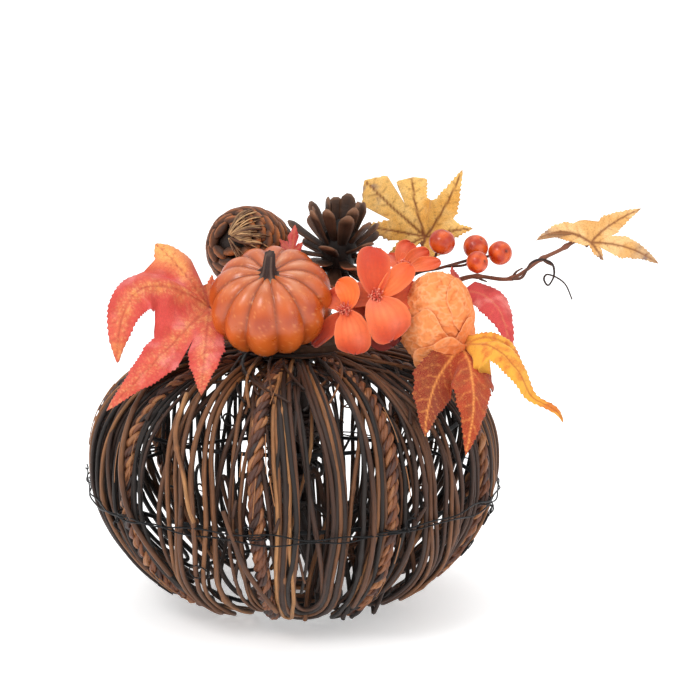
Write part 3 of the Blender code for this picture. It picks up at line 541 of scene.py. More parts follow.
stray(m_at_radius(0.090, True), BELLY_M + 0.004, -38, -25, -0.0024, 0.0015, 1.7)
stray(BELLY_M - 0.004, m_at_radius(0.082, False), -17, -6, -0.0016, 0.0014, 1.7)
stray(m_at_radius(0.055, True), m_at_radius(0.100, False), -66, -42, -0.0016, 0.0017, 0.8)
stray(m_at_radius(0.060, True), m_at_radius(0.085, False), 20, 24, -0.0010, 0.0015, 0.9)
stray(m_at_radius(0.070, True), m_at_radius(0.095, False), 40, 58, 0.0010, 0.0015, 0.4)
stray(m_at_radius(0.050, True), m_at_radius(0.070, False), -30, -44, 0.0036, 0.0016, 0.0)
for _ in range(64):
    a0 = rng.uniform(-180, 180)
    crown = m_at_radius(rng.uniform(0.030, 0.075), True)
    foot = m_at_radius(rng.uniform(0.055, 0.112), False)
    stray(crown, foot, a0, a0 + rng.uniform(-22, 22), rng.uniform(0.001, 0.011), rng.uniform(0.0009, 0.0014), rng.uniform(-0.9, 0.3), bow=rng.uniform(-9, 9))
for _ in range(10):            # short snapped ends that stand off the cage
    a0 = rng.uniform(-100, 100)
    m = rng.uniform(m_at_radius(0.085, True), BELLY_M + 0.02)
    length = rng.uniform(0.006, 0.013)
    t = np.linspace(0, 1, 8)
    pts = cage(m - length * 0.8 * t, np.radians(a0 + 1.5 * t), -length * 0.32 * t)
    b.tube(pts, 0.0013 * (1 - 0.45 * t), 6, BARK[1])
# painted shade on the inward sides
b.finish("stray_vines", M["vine"], "cage", (), painted_shade=0.7)

b = Build()
rng = np.random.default_rng(77)
for _ in range(20):            # curled tendrils inside the cage
    c = np.array([rng.uniform(-0.075, 0.075), rng.uniform(-0.075, 0.02), rng.uniform(0.05, 0.135)])
    rr = rng.uniform(0.003, 0.008)
    turns = rng.uniform(1.0, 2.2)
    n = 60
    a = np.linspace(0, turns * 2 * pi, n)
    u, w = unit(rng.normal(size=3)), unit(rng.normal(size=3))
    w = unit(w - u * (u @ w))
    q = rr * (1 - 0.5 * a / a[-1])
    pts = c + (np.cos(a) * q)[:, None] * u + (np.sin(a) * q)[:, None] * w + np.outer(np.linspace(0, 1, n), unit(rng.normal(size=3))) * 0.014
    rad = np.hypot(pts[:, 0], pts[:, 1])
    if rad.max() < 0.100:
        b.tube(pts, rng.uniform(0.0004, 0.0008), 5, BARK[int(rng.integers(0, 3))])
for k in range(30):            # loose dark ends curled over inside, thickest to the right of the front
    a0 = radians(rng.uniform(2, 62) if k < 20 else rng.uniform(-75, 150))
    r0 = rng.uniform(0.050, 0.088)
    zt = rng.uniform(0.050, 0.092)
    way = rng.choice([-1, 1])
    pts = []
    for f, rr, z in ((0, 0.86, 0.012), (0.02, 1.0, 0.34 * zt), (0.10, 0.99, 0.74 * zt), (0.30, 0.93, zt), (0.52, 0.86, 0.86 * zt), (0.60, 0.82, 0.52 * zt)):
        a1 = a0 + way * f * rng.uniform(0.35, 0.8) + rng.normal(0, 0.02)
        pts.append((r0 * rr * sin(a1), -r0 * rr * cos(a1), max(0.004, z + rng.normal(0, 0.003))))
    b.tube(spline(pts, 48), rng.uniform(0.0009, 0.0015), 6, bark_colour(48, rng, -1.0))
# painted shade on the inward sides
b.finish("inner_tendrils", M["vine"], "cage", (), painted_shade=0.5)

b = Build()
rng = np.random.default_rng(78)
DARK = lin("#241610")
for i in range(11):            # dark wrapped stems of the picks
    a = rng.uniform(0, 2 * pi)
    r0, r1 = rng.uniform(0.003, 0.011), rng.uniform(0.002, 0.013)
    low = rng.uniform(0.050, 0.085) if i % 2 else 0.014
    pts = spline([(0.004 + r0 * cos(a), r0 * sin(a), 0.152), (0.003 + 0.7 * r0 * cos(a), 0.7 * r0 * sin(a), 0.125),
                  (0.002 + r1 * cos(a + 1), r1 * sin(a + 1), (0.12 + low) / 2), (0.004 + 0.4 * r1 * cos(a + 1.6) + (0.010 if low < 0.02 else 0), 0.4 * r1 * sin(a + 1.6), low)], 40)
    b.tube(pts, (0.0022 if i % 3 else 0.0032) * (1 + wobble(40, 0.16, 9, rng)), 8, DARK * rng.uniform(0.7, 1.8))
for i in range(9):             # tape and vine wound round them
    n = 70
    a = np.linspace(0, 2 * pi * rng.uniform(1.2, 2.4), n)
    z = rng.uniform(0.082, 0.118) + np.linspace(0, rng.uniform(-0.010, 0.010), n)
    q = rng.uniform(0.007, 0.014) + wobble(n, 0.001, 4, rng)
    b.tube(np.stack([0.003 + np.cos(a + i) * q, np.sin(a + i) * q, z + 0.003 * np.sin(a * 1.3)], 1), rng.uniform(0.0007, 0.0014), 6, DARK * rng.uniform(0.8, 2.6))
b.finish("pick_stems", M["vine"], "cage", ("pick_stem_bundle",))

b = Build()
rng = np.random.default_rng(79)
for i in range(16):            # vine ends wound together under the foot
    n = 90
    a = np.linspace(0, 2 * pi * rng.uniform(0.8, 1.3), n) + rng.uniform(0, 6.28)
    q = rng.uniform(0.010, 0.0285) + wobble(n, 0.0012, 4, rng)
    z = 0.0018 + 0.0068 * rng.uniform(0, 1) * (1 - q / 0.036) + wobble(n, 0.0004, 5, rng)
    rad = vine_radius(n, rng.uniform(0.0013, 0.0018), rng)
    b.tube(np.stack([np.cos(a) * q, np.sin(a) * q, np.maximum(z, rad)], 1), rad, 6, bark_colour(n, rng))
b.finish("base_coil", M["vine"], "cage", ("base_knot",))

b = Build()
rng = np.random.default_rng(80)
for i in range(26):            # vine ends wound round the crown, under the picks
    n = 60
    a = np.linspace(0, 2 * pi * rng.uniform(0.2, 0.55), n) + rng.uniform(0, 6.28)
    q = rng.uniform(0.018, 0.036) + wobble(n, 0.0040, 3, rng)
    z = np.interp(q, [0.018, 0.03, 0.046], [0.1560, 0.1540, 0.1505]) + rng.uniform(-0.0012, 0.0012) + wobble(n, 0.0010, 4, rng)
    b.tube(np.stack([np.cos(a) * q, np.sin(a) * q, z], 1), vine_radius(n, rng.uniform(0.0009, 0.0013), rng), 6, bark_colour(n, rng, -1.0))
for i in range(150):           # ends that run up and over the crown at all slants
    n = 26
    a0, d = rng.uniform(0, 2 * pi), rng.normal(0, 0.34)
    t = np.linspace(0, 1, n)
    m = np.linspace(m_at_radius(rng.uniform(0.022, 0.040), True), m_at_radius(rng.uniform(0.060, 0.094), True), n)
    pts = cage(m, a0 + d * t + wobble(n, 0.02, 3, rng), rng.uniform(-0.0014, 0.0045) + wobble(n, 0.0009, 3, rng))
    b.tube(pts, vine_radius(n, rng.uniform(0.0007, 0.0012), rng) * np.linspace(1.15, 0.75, n), 6, bark_colour(n, rng, -0.55))
b.finish("crown_coil", M["vine"], "cage", ("crown_ring",))

# ------------------------------------------------------------------ tie wires
b = Build()
rng = np.random.default_rng(90)
BLACK = np.array([0.012, 0.012, 0.014])
TIE_M = float(np.interp(-0.0725, -PROFILE[TOP_I:, 1], ALONG[TOP_I:]))
for z_off, ph in ((-0.0012, 0.0), (0.0014, 1.7)):
    n = 420
    a = np.linspace(0, 2 * pi, n)
    near = np.array([min(abs((np.degrees(x) - r + 180) % 360 - 180) for r in ROPES) for x in a])
    lift = 0.0022 + 0.0006 * np.exp(-((near / 3) ** 2)) + 0.0005 * np.sin(a * 23 + ph)
    mm = TIE_M + z_off + 0.0016 * np.sin(5 * a + ph) + 0.0009 * np.sin(17 * a + 2 * ph)
    b.tube(cage(mm, a, -lift), 0.00046, 6, BLACK)
for r in ROPES:                # two turns round each rope and a twisted tail
    n = 90
    t = np.linspace(0, 2 * pi * 2.1, n)
    mm = TIE_M + np.linspace(-0.0016, 0.0016, n)
    ang = radians(r) + 0.0062 / CAGE_R * np.cos(t)
    b.tube(cage(mm, ang, 0.0024 - 0.0054 * np.sin(t)), 0.00045, 6, BLACK)
    n = 44
    t = np.linspace(0, 1, n)
    a0, d = radians(r + rng.uniform(-5, 5)), rng.choice([-1, 1])
    mm = TIE_M + 0.010 * t * rng.choice([-1, 1]) + 0.0016 * np.sin(9 * t)
    b.tube(cage(mm, a0 + d * (0.05 * t + 0.012 * np.sin(12 * t)), -0.0024 - 0.0016 * np.sin(7 * t) ** 2), 0.00042, 5, BLACK)
for a0, m0, turns in ((-62, 0.062, 1.4), (66, 0.030, 1.2), (72, 0.012, 1.1), (-30, 0.026, 1.3)):
    n = 60
    t = np.linspace(0, 1, n)
    mm = TIE_M + m0 + 0.006 * np.sin(2 * pi * turns * t) * (1 - 0.4 * t)
    b.tube(cage(mm, radians(a0) + 0.09 * t + 0.05 * np.cos(2 * pi * turns * t) * (1 - 0.4 * t), -0.002 + 0 * t), 0.0004, 5, BLACK)
b.finish("belly_tie_wires", M["wire"], "cage", ("belly_tie_wire",))

# ------------------------------------------------------------------ small moulded pumpkin
PUMPKIN_AT, PUMPKIN_AXIS = np.array([-0.0118, -0.038, 0.186]), unit([-0.03, -0.545, 0.838])
PUMPKIN_R, PUMPKIN_HALF, RIBS = 0.0345, 0.0252, 12


def spin_to(axis, roll=0.0):
    """Columns are the turned X, Y and Z axes, with Z along axis."""
    z = unit(axis)
    x = unit(np.cross([0, 1.0, 0], z)) if abs(z[1]) < 0.95 else unit(np.cross([1.0, 0, 0], z))
    y = np.cross(z, x)
    c, s = cos(roll), sin(roll)
    return np.stack([x * c + y * s, -x * s + y * c, z], 1)


def pumpkin():
    b = Build()
    nu, nv = (RIBS * 14, 72)
    u = 2 * pi * np.arange(nu) / nu
    v = pi * np.linspace(0.012, 0.988, nv)
    U, V = np.meshgrid(u, v)
    wander = 0.05 * np.sin(3 * U + 1) + 0.04 * np.sin(5 * U)
    s = np.abs(np.sin(RIBS * (U + wander * 0.5) / 2))
    rib = 0.905 + 0.095 * s ** 0.75
    rho = PUMPKIN_R * np.sin(V) ** 0.82 * rib * (1 + 0.018 * np.sin(2 * U + 0.5))
    dimple = np.exp(-((rho / (0.36 * PUMPKIN_R)) ** 2))
    z = PUMPKIN_HALF * np.cos(V) * (1 - 0.17 * dimple) * (0.93 + 0.07 * s ** 0.6)
    p = np.stack([rho * np.cos(U), rho * np.sin(U), z], -1)
    h = np.cos(V)
    ridge = s ** 1.3
    # painted shade: the grooves darker red-brown, the ridges paler orange
    col = mixc(lin("#a03c0c"), lin("#cc6020"), 0.25 + 0.65 * ridge)
    col = mixc(col, lin("#d8702a"), smooth01((-h - 0.15) * 1.5) * 0.6)
    burnt = np.exp(-(((h - 0.46) / 0.20) ** 2)) * np.clip(s * 1.5 - 0.35, 0, 1) ** 1.1
    burnt *= 0.60 + 0.40 * np.sin(U * 2.3 + 1) * np.sin(U * 5.1)
    col = mixc(col, lin("#a03604"), np.clip(burnt * 1.35, 0, 0.90))
    tan = smooth01((h - 0.64) / 0.28)
    col = mixc(col, lin("#a8562c"), tan * 0.55)
    # painted sheen: pale pinkish tan on the ridges round the stem, patchy by noise
    painted_sheen_noise = np.array([noise.noise(Vector((q[0] * 95, q[1] * 95, 4.0))) for q in p.reshape(-1, 3)]).reshape(h.shape)
    col = mixc(col, lin("#dcae8c"), tan * np.clip(ridge - 0.25, 0, 1) * np.clip(0.45 + painted_sheen_noise * 1.6, 0, 1) * 0.42)
    # painted shade in the grooves, stronger towards the stem where they run deeper
    col = mixc(col, lin("#6e2f10"), smooth01((0.34 - s) / 0.34) * (0.30 + 0.30 * smooth01((h - 0.2) * 2)))
    speck = np.array([noise.noise(Vector(q) * 900) for q in p.reshape(-1, 3)]).reshape(h.shape)
    col = mixc(col, lin("#ec9a58"), np.clip(speck * 2.2 - 0.85, 0, 0.35))
    v3 = p.reshape(-1, 3)
    turn = spin_to(PUMPKIN_AXIS, 0.13)
    faces = []
    for j in range(nv - 1):
        for i in range(nu):
            k = (i + 1) % nu
            faces.append((j * nu + i, (j + 1) * nu + i, (j + 1) * nu + k, j * nu + k))
    faces.append(tuple(range(nu)))
    faces.append(tuple(reversed(range((nv - 1) * nu, nv * nu))))
    b.add(v3 @ turn.T + PUMPKIN_AT, faces, col.reshape(-1, 3))
    return b.finish("moulded_pumpkin", M["pumpkin"], "cage", ("small_pumpkin",))


pumpkin()


def pumpkin_stem():
    b = Build()
    n, nv = 60, 30
    u = 2 * pi * np.arange(n) / n
    t = np.linspace(0, 1, nv)
    top = PUMPKIN_HALF * 0.81
    flare = 0.0088 * np.exp(-t * 13) + 0.0044 - 0.0016 * t ** 0.8
    lobes = 1 + (0.24 * np.exp(-t * 9))[:, None] * np.cos(5 * u)[None] + 0.09 * np.cos(7 * u + 1)[None]
    r = flare[:, None] * lobes
    bend = np.stack([0.0012 * t ** 2, 0.0050 * t ** 2, top - 0.0008 + 0.0112 * t], 1)
    p = np.stack([r * np.cos(u) + bend[:, :1], r * np.sin(u) + bend[:, 1:2], np.repeat(bend[:, 2:], n, 1)], -1)
    p[..., 2] += 0.0009 * np.exp(-t * 9)[:, None] * np.cos(5 * u + 0.5)[None]
    turn = spin_to(PUMPKIN_AXIS, 0.0)
    col = mixc(lin("#b39a86"), lin("#2c1711"), smooth01((t - 0.02) * 7))[:, None] * np.ones((1, n, 1))
    col = mixc(col, lin("#6d5346"), (smooth01(t * 6)[:, None] * (np.clip(np.cos(5 * u), 0, 1) ** 4)[None]) * 0.55)
    faces = [(j * n + i, j * n + (i + 1) % n, (j + 1) * n + (i + 1) % n, (j + 1) * n + i) for j in range(nv - 1) for i in range(n)]
    faces += [tuple(reversed(range(n))), tuple(range((nv - 1) * n, nv * n))]
    b.add(p.reshape(-1, 3) @ turn.T + PUMPKIN_AT, faces, col.reshape(-1, 3))
    b.finish("moulded_pumpkin_stem", M["stem"], "cage", ("small_pumpkin_stem",))


pumpkin_stem()

# ------------------------------------------------------------------ shut cone
CONE_A_AT, CONE_A_AXIS = np.array([-0.0254, 0.028, 0.2036]), unit([-0.42, -0.80, 0.40])


def shut_cone():
    b = Build()
    spin = spin_to(CONE_A_AXIS)
    rng = np.random.default_rng(21)
    length, radius = 0.053, 0.0212
    zs = np.linspace(-0.985, 0.97, 400)
    rs = np.sqrt(np.clip(1 - np.abs(zs) ** 2.3, 0, 1))
    ring = rs * np.hypot(np.gradient(rs), np.gradient(zs) * length * 0.48 / radius)
    share = np.concatenate([[0], np.cumsum(ring[1:])]) / ring[1:].sum()
    b.ball(CONE_A_AT, (radius * 0.93, radius * 0.93, length * 0.46), spin, lin("#20130d"), 16, 24)
    golden = pi * (3 - sqrt(5))
    n = 132
    for k in range(n):
        t = (k + 0.5) / n                        # 0 at the tip, 1 at the base
        zz = float(np.interp(t, share, zs))
        s = sqrt(max(0.0, 1 - min(1, abs(zz)) ** 2.3))
        a = golden * k
        p = np.array([radius * s * cos(a), radius * s * sin(a), length * 0.48 * zz])
        nrm = unit([cos(a) * s / radius, sin(a) * s / radius, zz / (length * 0.48)])
        along = unit(np.array([0, 0, -1.0]) - nrm * (-nrm[2]))
        across = np.cross(nrm, along)
        size = 0.0044 * (0.62 + 0.45 * s)
        frame3 = np.stack([across, unit(along * 0.93 + nrm * 0.36), unit(np.cross(across, unit(along * 0.93 + nrm * 0.36)))], 1)

        def shape(q):
            q = q.copy()
            q[:, 0] *= 1 - 0.28 * q[:, 1] ** 2
            q[:, 1] = np.sign(q[:, 1]) * np.abs(q[:, 1]) ** 0.85
            return q

        tone = rng.uniform(0.75, 1.25)
        base, lip = lin("#3a1e0d") * tone, lin("#a8602f") * tone
        b.ball(CONE_A_AT + spin @ (p + nrm * 0.0010), (size * 1.80, size * 0.84, 0.0026), spin @ frame3, lambda q: mixc(base, lip, smooth01(q[:, 1] * 0.9 + 0.25)), 6, 9, shape)
    # straw ends over the base
    for k in range(46):
        a = rng.uniform(-1.9, 0.5)
        r0, r1 = rng.uniform(0.001, 0.006), rng.uniform(0.013, 0.0215)
        tt = np.linspace(0, 1, 12)
        r = r0 + (r1 - r0) * tt
        aa = a + wobble(12, 0.12, 2, rng)
        zl = length * 0.48 * np.sqrt(np.clip(1 - (r / (radius * 1.16)) ** 2.3, 0, 1)) + 0.0030 + 0.0008 * np.sin(pi * tt)
        q = np.stack([r * np.cos(aa), r * np.sin(aa), zl], 1)
        b.tube(q @ spin.T + CONE_A_AT, rng.uniform(0.00025, 0.00065), 5, mixc(lin("#4a2615"), lin("#c39a6c"), rng.uniform(0, 1) ** 1.4))
    b.finish("shut_pine_cone", M["cone"], "cage", ("closed_pine_cone",))


shut_cone()

# ------------------------------------------------------------------ open cone
CONE_B_AT = np.array([0.0258, 0.0200, 0.2050])


def open_cone():
    b = Build()
    rng = np.random.default_rng(31)
    axis = unit([0.10, -0.16, 1.0])
    spin = spin_to(axis)
    b.ball(CONE_B_AT, (0.0105, 0.0105, 0.0185), spin, lin("#160e0a"), 12, 14)
    golden = pi * (3 - sqrt(5))
    n = 40
    for k in range(n):
        t = (k + 0.5) / n                        # 0 at the foot, 1 at the top
        a = golden * k + 0.4 + rng.normal(0, 0.10)
        lift = radians(-48 + 126 * t ** 0.85 + rng.normal(0, 7))
        d = np.array([cos(a) * cos(lift), sin(a) * cos(lift), sin(lift)])
        root = np.array([0.006 * cos(a), 0.006 * sin(a), -0.0125 + 0.0210 * t])
        long = (0.0110 + 0.0150 * sin(pi * min(1.0, 0.12 + 0.60 * t)) ** 1.2) * rng.uniform(0.80, 1.18)
        wide = 0.0050 * (0.85 + 0.30 * sin(pi * (0.15 + 0.75 * t))) * rng.uniform(0.75, 1.15)
        thick = 0.0011
        upn = unit(np.cross(np.cross(d, [0, 0, 1.0]), d) + 1e-6)
        side = np.cross(d, upn)
        ns, nw = 12, 9
        s = np.linspace(0, 1, ns)
        prof = np.interp(s, [0, 0.25, 0.55, 0.80, 0.94, 1.0], [0.50, 0.62, 0.86, 1.0, 0.74, 0.30])
        th = thick * np.interp(s, [0, 0.6, 0.82, 0.93, 1.0], [1.3, 0.9, 0.95, 1.0, 0.4])
        curl = 0.0022 * s ** 2 * rng.uniform(0.4, 1.5)
        centre = root + np.outer(s * long, d) + np.outer(curl, upn)
        ang = 2 * pi * np.arange(nw) / nw
        ring = centre[:, None] + (wide * prof)[:, None, None] * np.cos(ang)[None, :, None] * side + th[:, None, None] * np.sin(ang)[None, :, None] * upn
        ring = ring.reshape(-1, 3)
        faces = [(j * nw + i, j * nw + (i + 1) % nw, (j + 1) * nw + (i + 1) % nw, (j + 1) * nw + i) for j in range(ns - 1) for i in range(nw)]
        faces += [tuple(reversed(range(nw))), tuple(range((ns - 1) * nw, ns * nw))]
        dark, mid = lin("#1a0f0a") * rng.uniform(0.8, 1.3), lin("#3c2416") * rng.uniform(0.7, 1.5)
        tip = lin("#b8623a") if t < 0.5 else lin("#8a6248")
        col = mixc(dark, mid, smooth01(s * 1.3))[:, None] * np.ones((1, nw, 1))
        edge = np.abs(np.cos(ang))[None, :] ** 3 * smooth01(s * 2)[:, None]
        col = mixc(col, lin("#74503a"), edge * 0.50)
        under = (np.sin(ang) < 0.3)[None, :] * smooth01((s - (0.58 if t < 0.5 else 0.80)) / 0.12)[:, None]
        col = mixc(col, tip, np.clip(under * (0.95 if t < 0.5 else 0.5) + 0.75 * smooth01((s - 0.90) / 0.06)[:, None] * rng.uniform(0.3, 1), 0, 1))
        b.add(ring @ spin.T + CONE_B_AT, faces, col.reshape(-1, 3))
    b.finish("spread_pine_cone", M["cone"], "cage", ("open_pine_cone",))


open_cone()

# ------------------------------------------------------------------ fabric leaves
def leaf_veins(material, scale, colour, amount):
    """Adds a fine net of printed veins to a leaf material, drawn in the sheet's own flat plane."""
    nt = material.node_tree
    N, L = nt.nodes, nt.links
    b = N["Principled BSDF"]
    src = b.inputs["Base Color"].links[0].from_socket
    at = N.new("ShaderNodeAttribute")
    at.attribute_name = "flow"
    mp = N.new("ShaderNodeMapping")
    mp.inputs["Scale"].default_value = (scale, scale, scale)
    L.new(at.outputs["Vector"], mp.inputs["Vector"])
    vo = N.new("ShaderNodeTexVoronoi")
    vo.feature = "DISTANCE_TO_EDGE"
    vo.inputs["Randomness"].default_value = 0.9
    L.new(mp.outputs["Vector"], vo.inputs["Vector"])
    mr = N.new("ShaderNodeMapRange")
    mr.inputs["From Min"].default_value = 0.015
    mr.inputs["From Max"].default_value = 0.09
    mr.inputs["To Min"].default_value = amount
    mr.inputs["To Max"].default_value = 0.0
    L.new(vo.outputs["Distance"], mr.inputs["Value"])
    mx = N.new("ShaderNodeMix")
    mx.data_type = "RGBA"
    L.new(mr.outputs["Result"], mx.inputs["Factor"])
    L.new(src, mx.inputs["A"])
    mx.inputs["B"].default_value = (*colour, 1)
    L.new(mx.outputs["Result"], b.inputs["Base Color"])
    return material


def bez(a, b, c, t):
    t = np.asarray(t)[..., None]
    return a * (1 - t) ** 2 + b * (2 * t * (1 - t)) + c * t * t


def bez_dir(a, b, c, t):
    t = np.asarray(t)[..., None]
    d = (b - a) * (2 * (1 - t)) + (c - b) * (2 * t)
    return d / (np.linalg.norm(d, axis=-1, keepdims=True) + 1e-12)


LEAF_KEYS = {"point": ((0.0, 0.16, 0.34, 0.47, 0.52, 0.66, 0.71, 0.84, 0.93, 1.0), (0.72, 0.82, 0.96, 1.08, 0.92, 0.76, 0.60, 0.38, 0.20, 0.0)),
             "blunt": ((0.0, 0.2, 0.5, 0.74, 0.80, 0.90, 0.96, 1.0), (0.5, 0.66, 0.92, 1.06, 0.98, 0.90, 0.72, 0.30)),
             "corner": ((0.0, 0.2, 0.5, 0.72, 0.80, 1.0), (0.5, 0.66, 0.92, 1.10, 0.98, 0.02)),
             "square": ((0.0, 0.2, 0.5, 0.8, 0.97, 1.0), (0.5, 0.66, 0.90, 1.04, 1.0, 0.80)),
             "broad": ((0.0, 0.2, 0.45, 0.7, 0.88, 1.0), (0.7, 0.94, 1.06, 0.84, 0.46, 0.05)),
             "long": ((0.0, 0.15, 0.4, 0.62, 0.80, 0.92, 1.0), (0.75, 0.88, 1.02, 0.80, 0.42, 0.30, 0.05)),
             "strap": ((0.0, 0.2, 0.5, 0.74, 0.90, 1.0), (0.8, 0.95, 1.0, 0.85, 0.45, 0.10))}


class Blade:
    """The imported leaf's lobes, cut finely: toothed edge, veins, and a soft roll across each lobe."""

    def __init__(self, at, normal, lobes, petiole=None, sinus=0.42, teeth=0.0011, pitch=0.0028, roll=0.18, seed=1, chord=False, web=None, focus=False):
        self.at, self.n = np.array(at, float) * 0.001, unit(normal)
        self.u = unit(np.array([1.0, 0, 0]) - self.n * self.n[0])
        self.v = np.cross(self.n, self.u)
        self.sinus, self.teeth, self.pitch, self.roll = sinus, teeth, pitch, roll
        self.chord, self.web, self.focus = chord, web or {}, focus
        self.rng = np.random.default_rng(seed)
        self.ribs = []
        for lobe in lobes:
            self.ribs.append(self.rib(lobe[0], lobe[1], lobe[2] * 0.001, False, lobe[3] if len(lobe) > 3 else "point"))
            self.ribs[-1]["web"] = self.web.get(len(self.ribs) - 1)
            self.ribs[-1]["kick"] = np.array(lobe[4], float) * 0.001 if len(lobe) > 4 else None
        if petiole:
            self.ribs.append(self.rib(petiole[0], petiole[1], 0.0008, True))
        self.ribs.sort(key=lambda q: q["a"])

    def rib(self, over, tip, half, stalk, keys="point"):
        tip = np.array(tip, float) * 0.001
        bend = np.array(over, float) * 0.002 - (self.at + tip) / 2
        d = np.array(over, float) * 0.001 - self.at if self.chord else bend - self.at
        pts = bez(self.at, bend, tip, np.linspace(0, 1, 25))
        return dict(bend=bend, tip=tip, half=half, a=atan2(d @ self.v, d @ self.u), stalk=stalk, keys=LEAF_KEYS[keys],
                    long=float(np.linalg.norm(np.diff(pts, axis=0), axis=1).sum()))

    def width(self, rib, t, side):
        if rib["stalk"]:
            return rib["half"]
        w = rib["half"] * float(np.interp(t, *rib["keys"]))
        s = t * rib["long"]
        tooth = (s / self.pitch + (0.4 if side > 0 else 0.0)) % 1.0
        fade = min(1.0, (1 - t) * 7) * min(1.0, t * 5)
        return max(0.0, w + self.teeth * (tooth ** 1.4 - 0.45) * fade)

    def outline(self):
        edge = []
        n = len(self.ribs)
        for i, rib in enumerate(self.ribs):
            nxt = self.ribs[(i + 1) % n]
            d = np.array([cos(rib["a"]), sin(rib["a"])])
            e = np.array([-d[1], d[0]])
            before = (rib["a"] - self.ribs[i - 1]["a"]) % (2 * pi)
            after = (nxt["a"] - rib["a"]) % (2 * pi)
            steps = max(8, int(rib["long"] / 0.0007))
            use = np.linspace(0.04, 0.992, steps)
            right, left = [], []
            webs = []
            for other, gap, first in ((self.ribs[i - 1], before, self.ribs[i - 1]), (nxt, after, rib)):
                short = min(9 if rib["stalk"] else rib["long"], 9 if other["stalk"] else other["long"])
                q = self.sinus * short
                if rib["stalk"] or other["stalk"]:
                    q = 0.20 * short
                if gap > 2.5:
                    q = 0.14 * short
                if first.get("web"):
                    q = first["web"] * short
                webs.append(q)
            for t in use:
                s, w = t * rib["long"], self.width(rib, t, -1)
                if w > 0.0002 and atan2(w, s) < 0.47 * min(before, 2.6) and s * s + w * w > (1.04 * webs[0]) ** 2:
                    right.append(s * d - w * e)
                w = self.width(rib, t, 1)
                if w > 0.0002 and atan2(w, s) < 0.47 * min(after, 2.6) and s * s + w * w > (1.04 * webs[1]) ** 2:
                    left.append(s * d + w * e)
            edge += right
            edge.append(rib["long"] * d)
            edge += left[::-1]
            mid = rib["a"] + after / 2
            edge.append(np.array([webs[1] * cos(mid), webs[1] * sin(mid)]))
        return np.array(edge)

    def local(self, x, y):
        """For each flat point: which rib it belongs to, how far along (0-1) and across (m)."""
        phi = np.arctan2(y, x)
        best = np.full(x.shape, 1e9)
        idx = np.zeros(x.shape, int)
        T, Q = np.zeros(x.shape), np.zeros(x.shape)
        for k, rib in enumerate(self.ribs):
            away = np.abs((phi - rib["a"] + pi) % (2 * pi) - pi)
            d = (cos(rib["a"]), sin(rib["a"]))
            s, q = x * d[0] + y * d[1], -x * d[1] + y * d[0]
            hit = away < best
            best = np.where(hit, away, best)
            idx = np.where(hit, k, idx)
            T, Q = np.where(hit, s / rib["long"], T), np.where(hit, q, Q)
        return idx, T, Q

    def place(self, x, y):
        phi = np.arctan2(y, x)
        total = np.zeros(x.shape)
        out = np.zeros(x.shape + (3,))
        for rib in self.ribs:
            d = (cos(rib["a"]), sin(rib["a"]))
            s, q = x * d[0] + y * d[1], -x * d[1] + y * d[0]
            t = s / rib["long"]
            away = np.abs((phi - rib["a"] + pi) % (2 * pi) - pi)
            spread = 0.40 - (0.27 * smooth01((np.hypot(x, y) - 0.010) / 0.018) if self.focus else 0.0)
            w = np.exp(-((away / spread) ** 2)) + 1e-9
            tt = np.clip(t, 0, 1)
            c = bez(self.at, rib["bend"], rib["tip"], tt)
            g = bez_dir(self.at, rib["bend"], rib["tip"], tt)
            c = c + g * (np.where(t < 0, s, 0) + np.where(t > 1, s - rib["long"], 0))[..., None]
            if rib.get("kick") is not None:
                c = c + rib["kick"] * smooth01((tt - 0.76) / 0.24)[..., None]
            side = np.cross(self.n, g)
            ln = np.linalg.norm(side, axis=-1, keepdims=True)
            alt = np.cross(self.n, unit(rib["tip"] - self.at))
            side = np.where(ln < 0.2, alt, side)
            side /= np.linalg.norm(side, axis=-1, keepdims=True) + 1e-12
            up = np.cross(g, side)
            lift = self.roll * (q ** 2 / max(rib["half"], 0.002)) if not rib["stalk"] else 0 * q
            out += (c + side * q[..., None] - up * lift[..., None]) * w[..., None]
            total += w
        return out / total[..., None]


def vein_fields(blade, x, y):
    """Main and side vein strength, distance from the lobe's middle and along it, at flat points."""
    idx, T, Q = blade.local(x, y)
    long = np.array([r["long"] for r in blade.ribs])[idx]
    half = np.array([r["half"] for r in blade.ribs])[idx]
    stalk = np.array([r["stalk"] for r in blade.ribs])[idx]
    main = np.exp(-((Q / (0.00062 * (1.25 - 0.7 * np.clip(T, 0, 1)))) ** 2))
    u = T * long - np.abs(Q) * 1.05 + 0.0008 * np.sin(Q * 900)
    pitch = np.clip(long * 0.17, 0.0042, 0.0085)
    near = np.abs(((u + np.where(Q > 0, 0.4, 0.0) * pitch) / pitch + 0.5) % 1 - 0.5) * pitch
    side = np.exp(-((near / 0.00042) ** 2)) * np.clip(1.15 - np.abs(Q) / (half + 1e-6), 0, 1) * (T > 0.06)
    return idx, T, Q, half, stalk, main, side


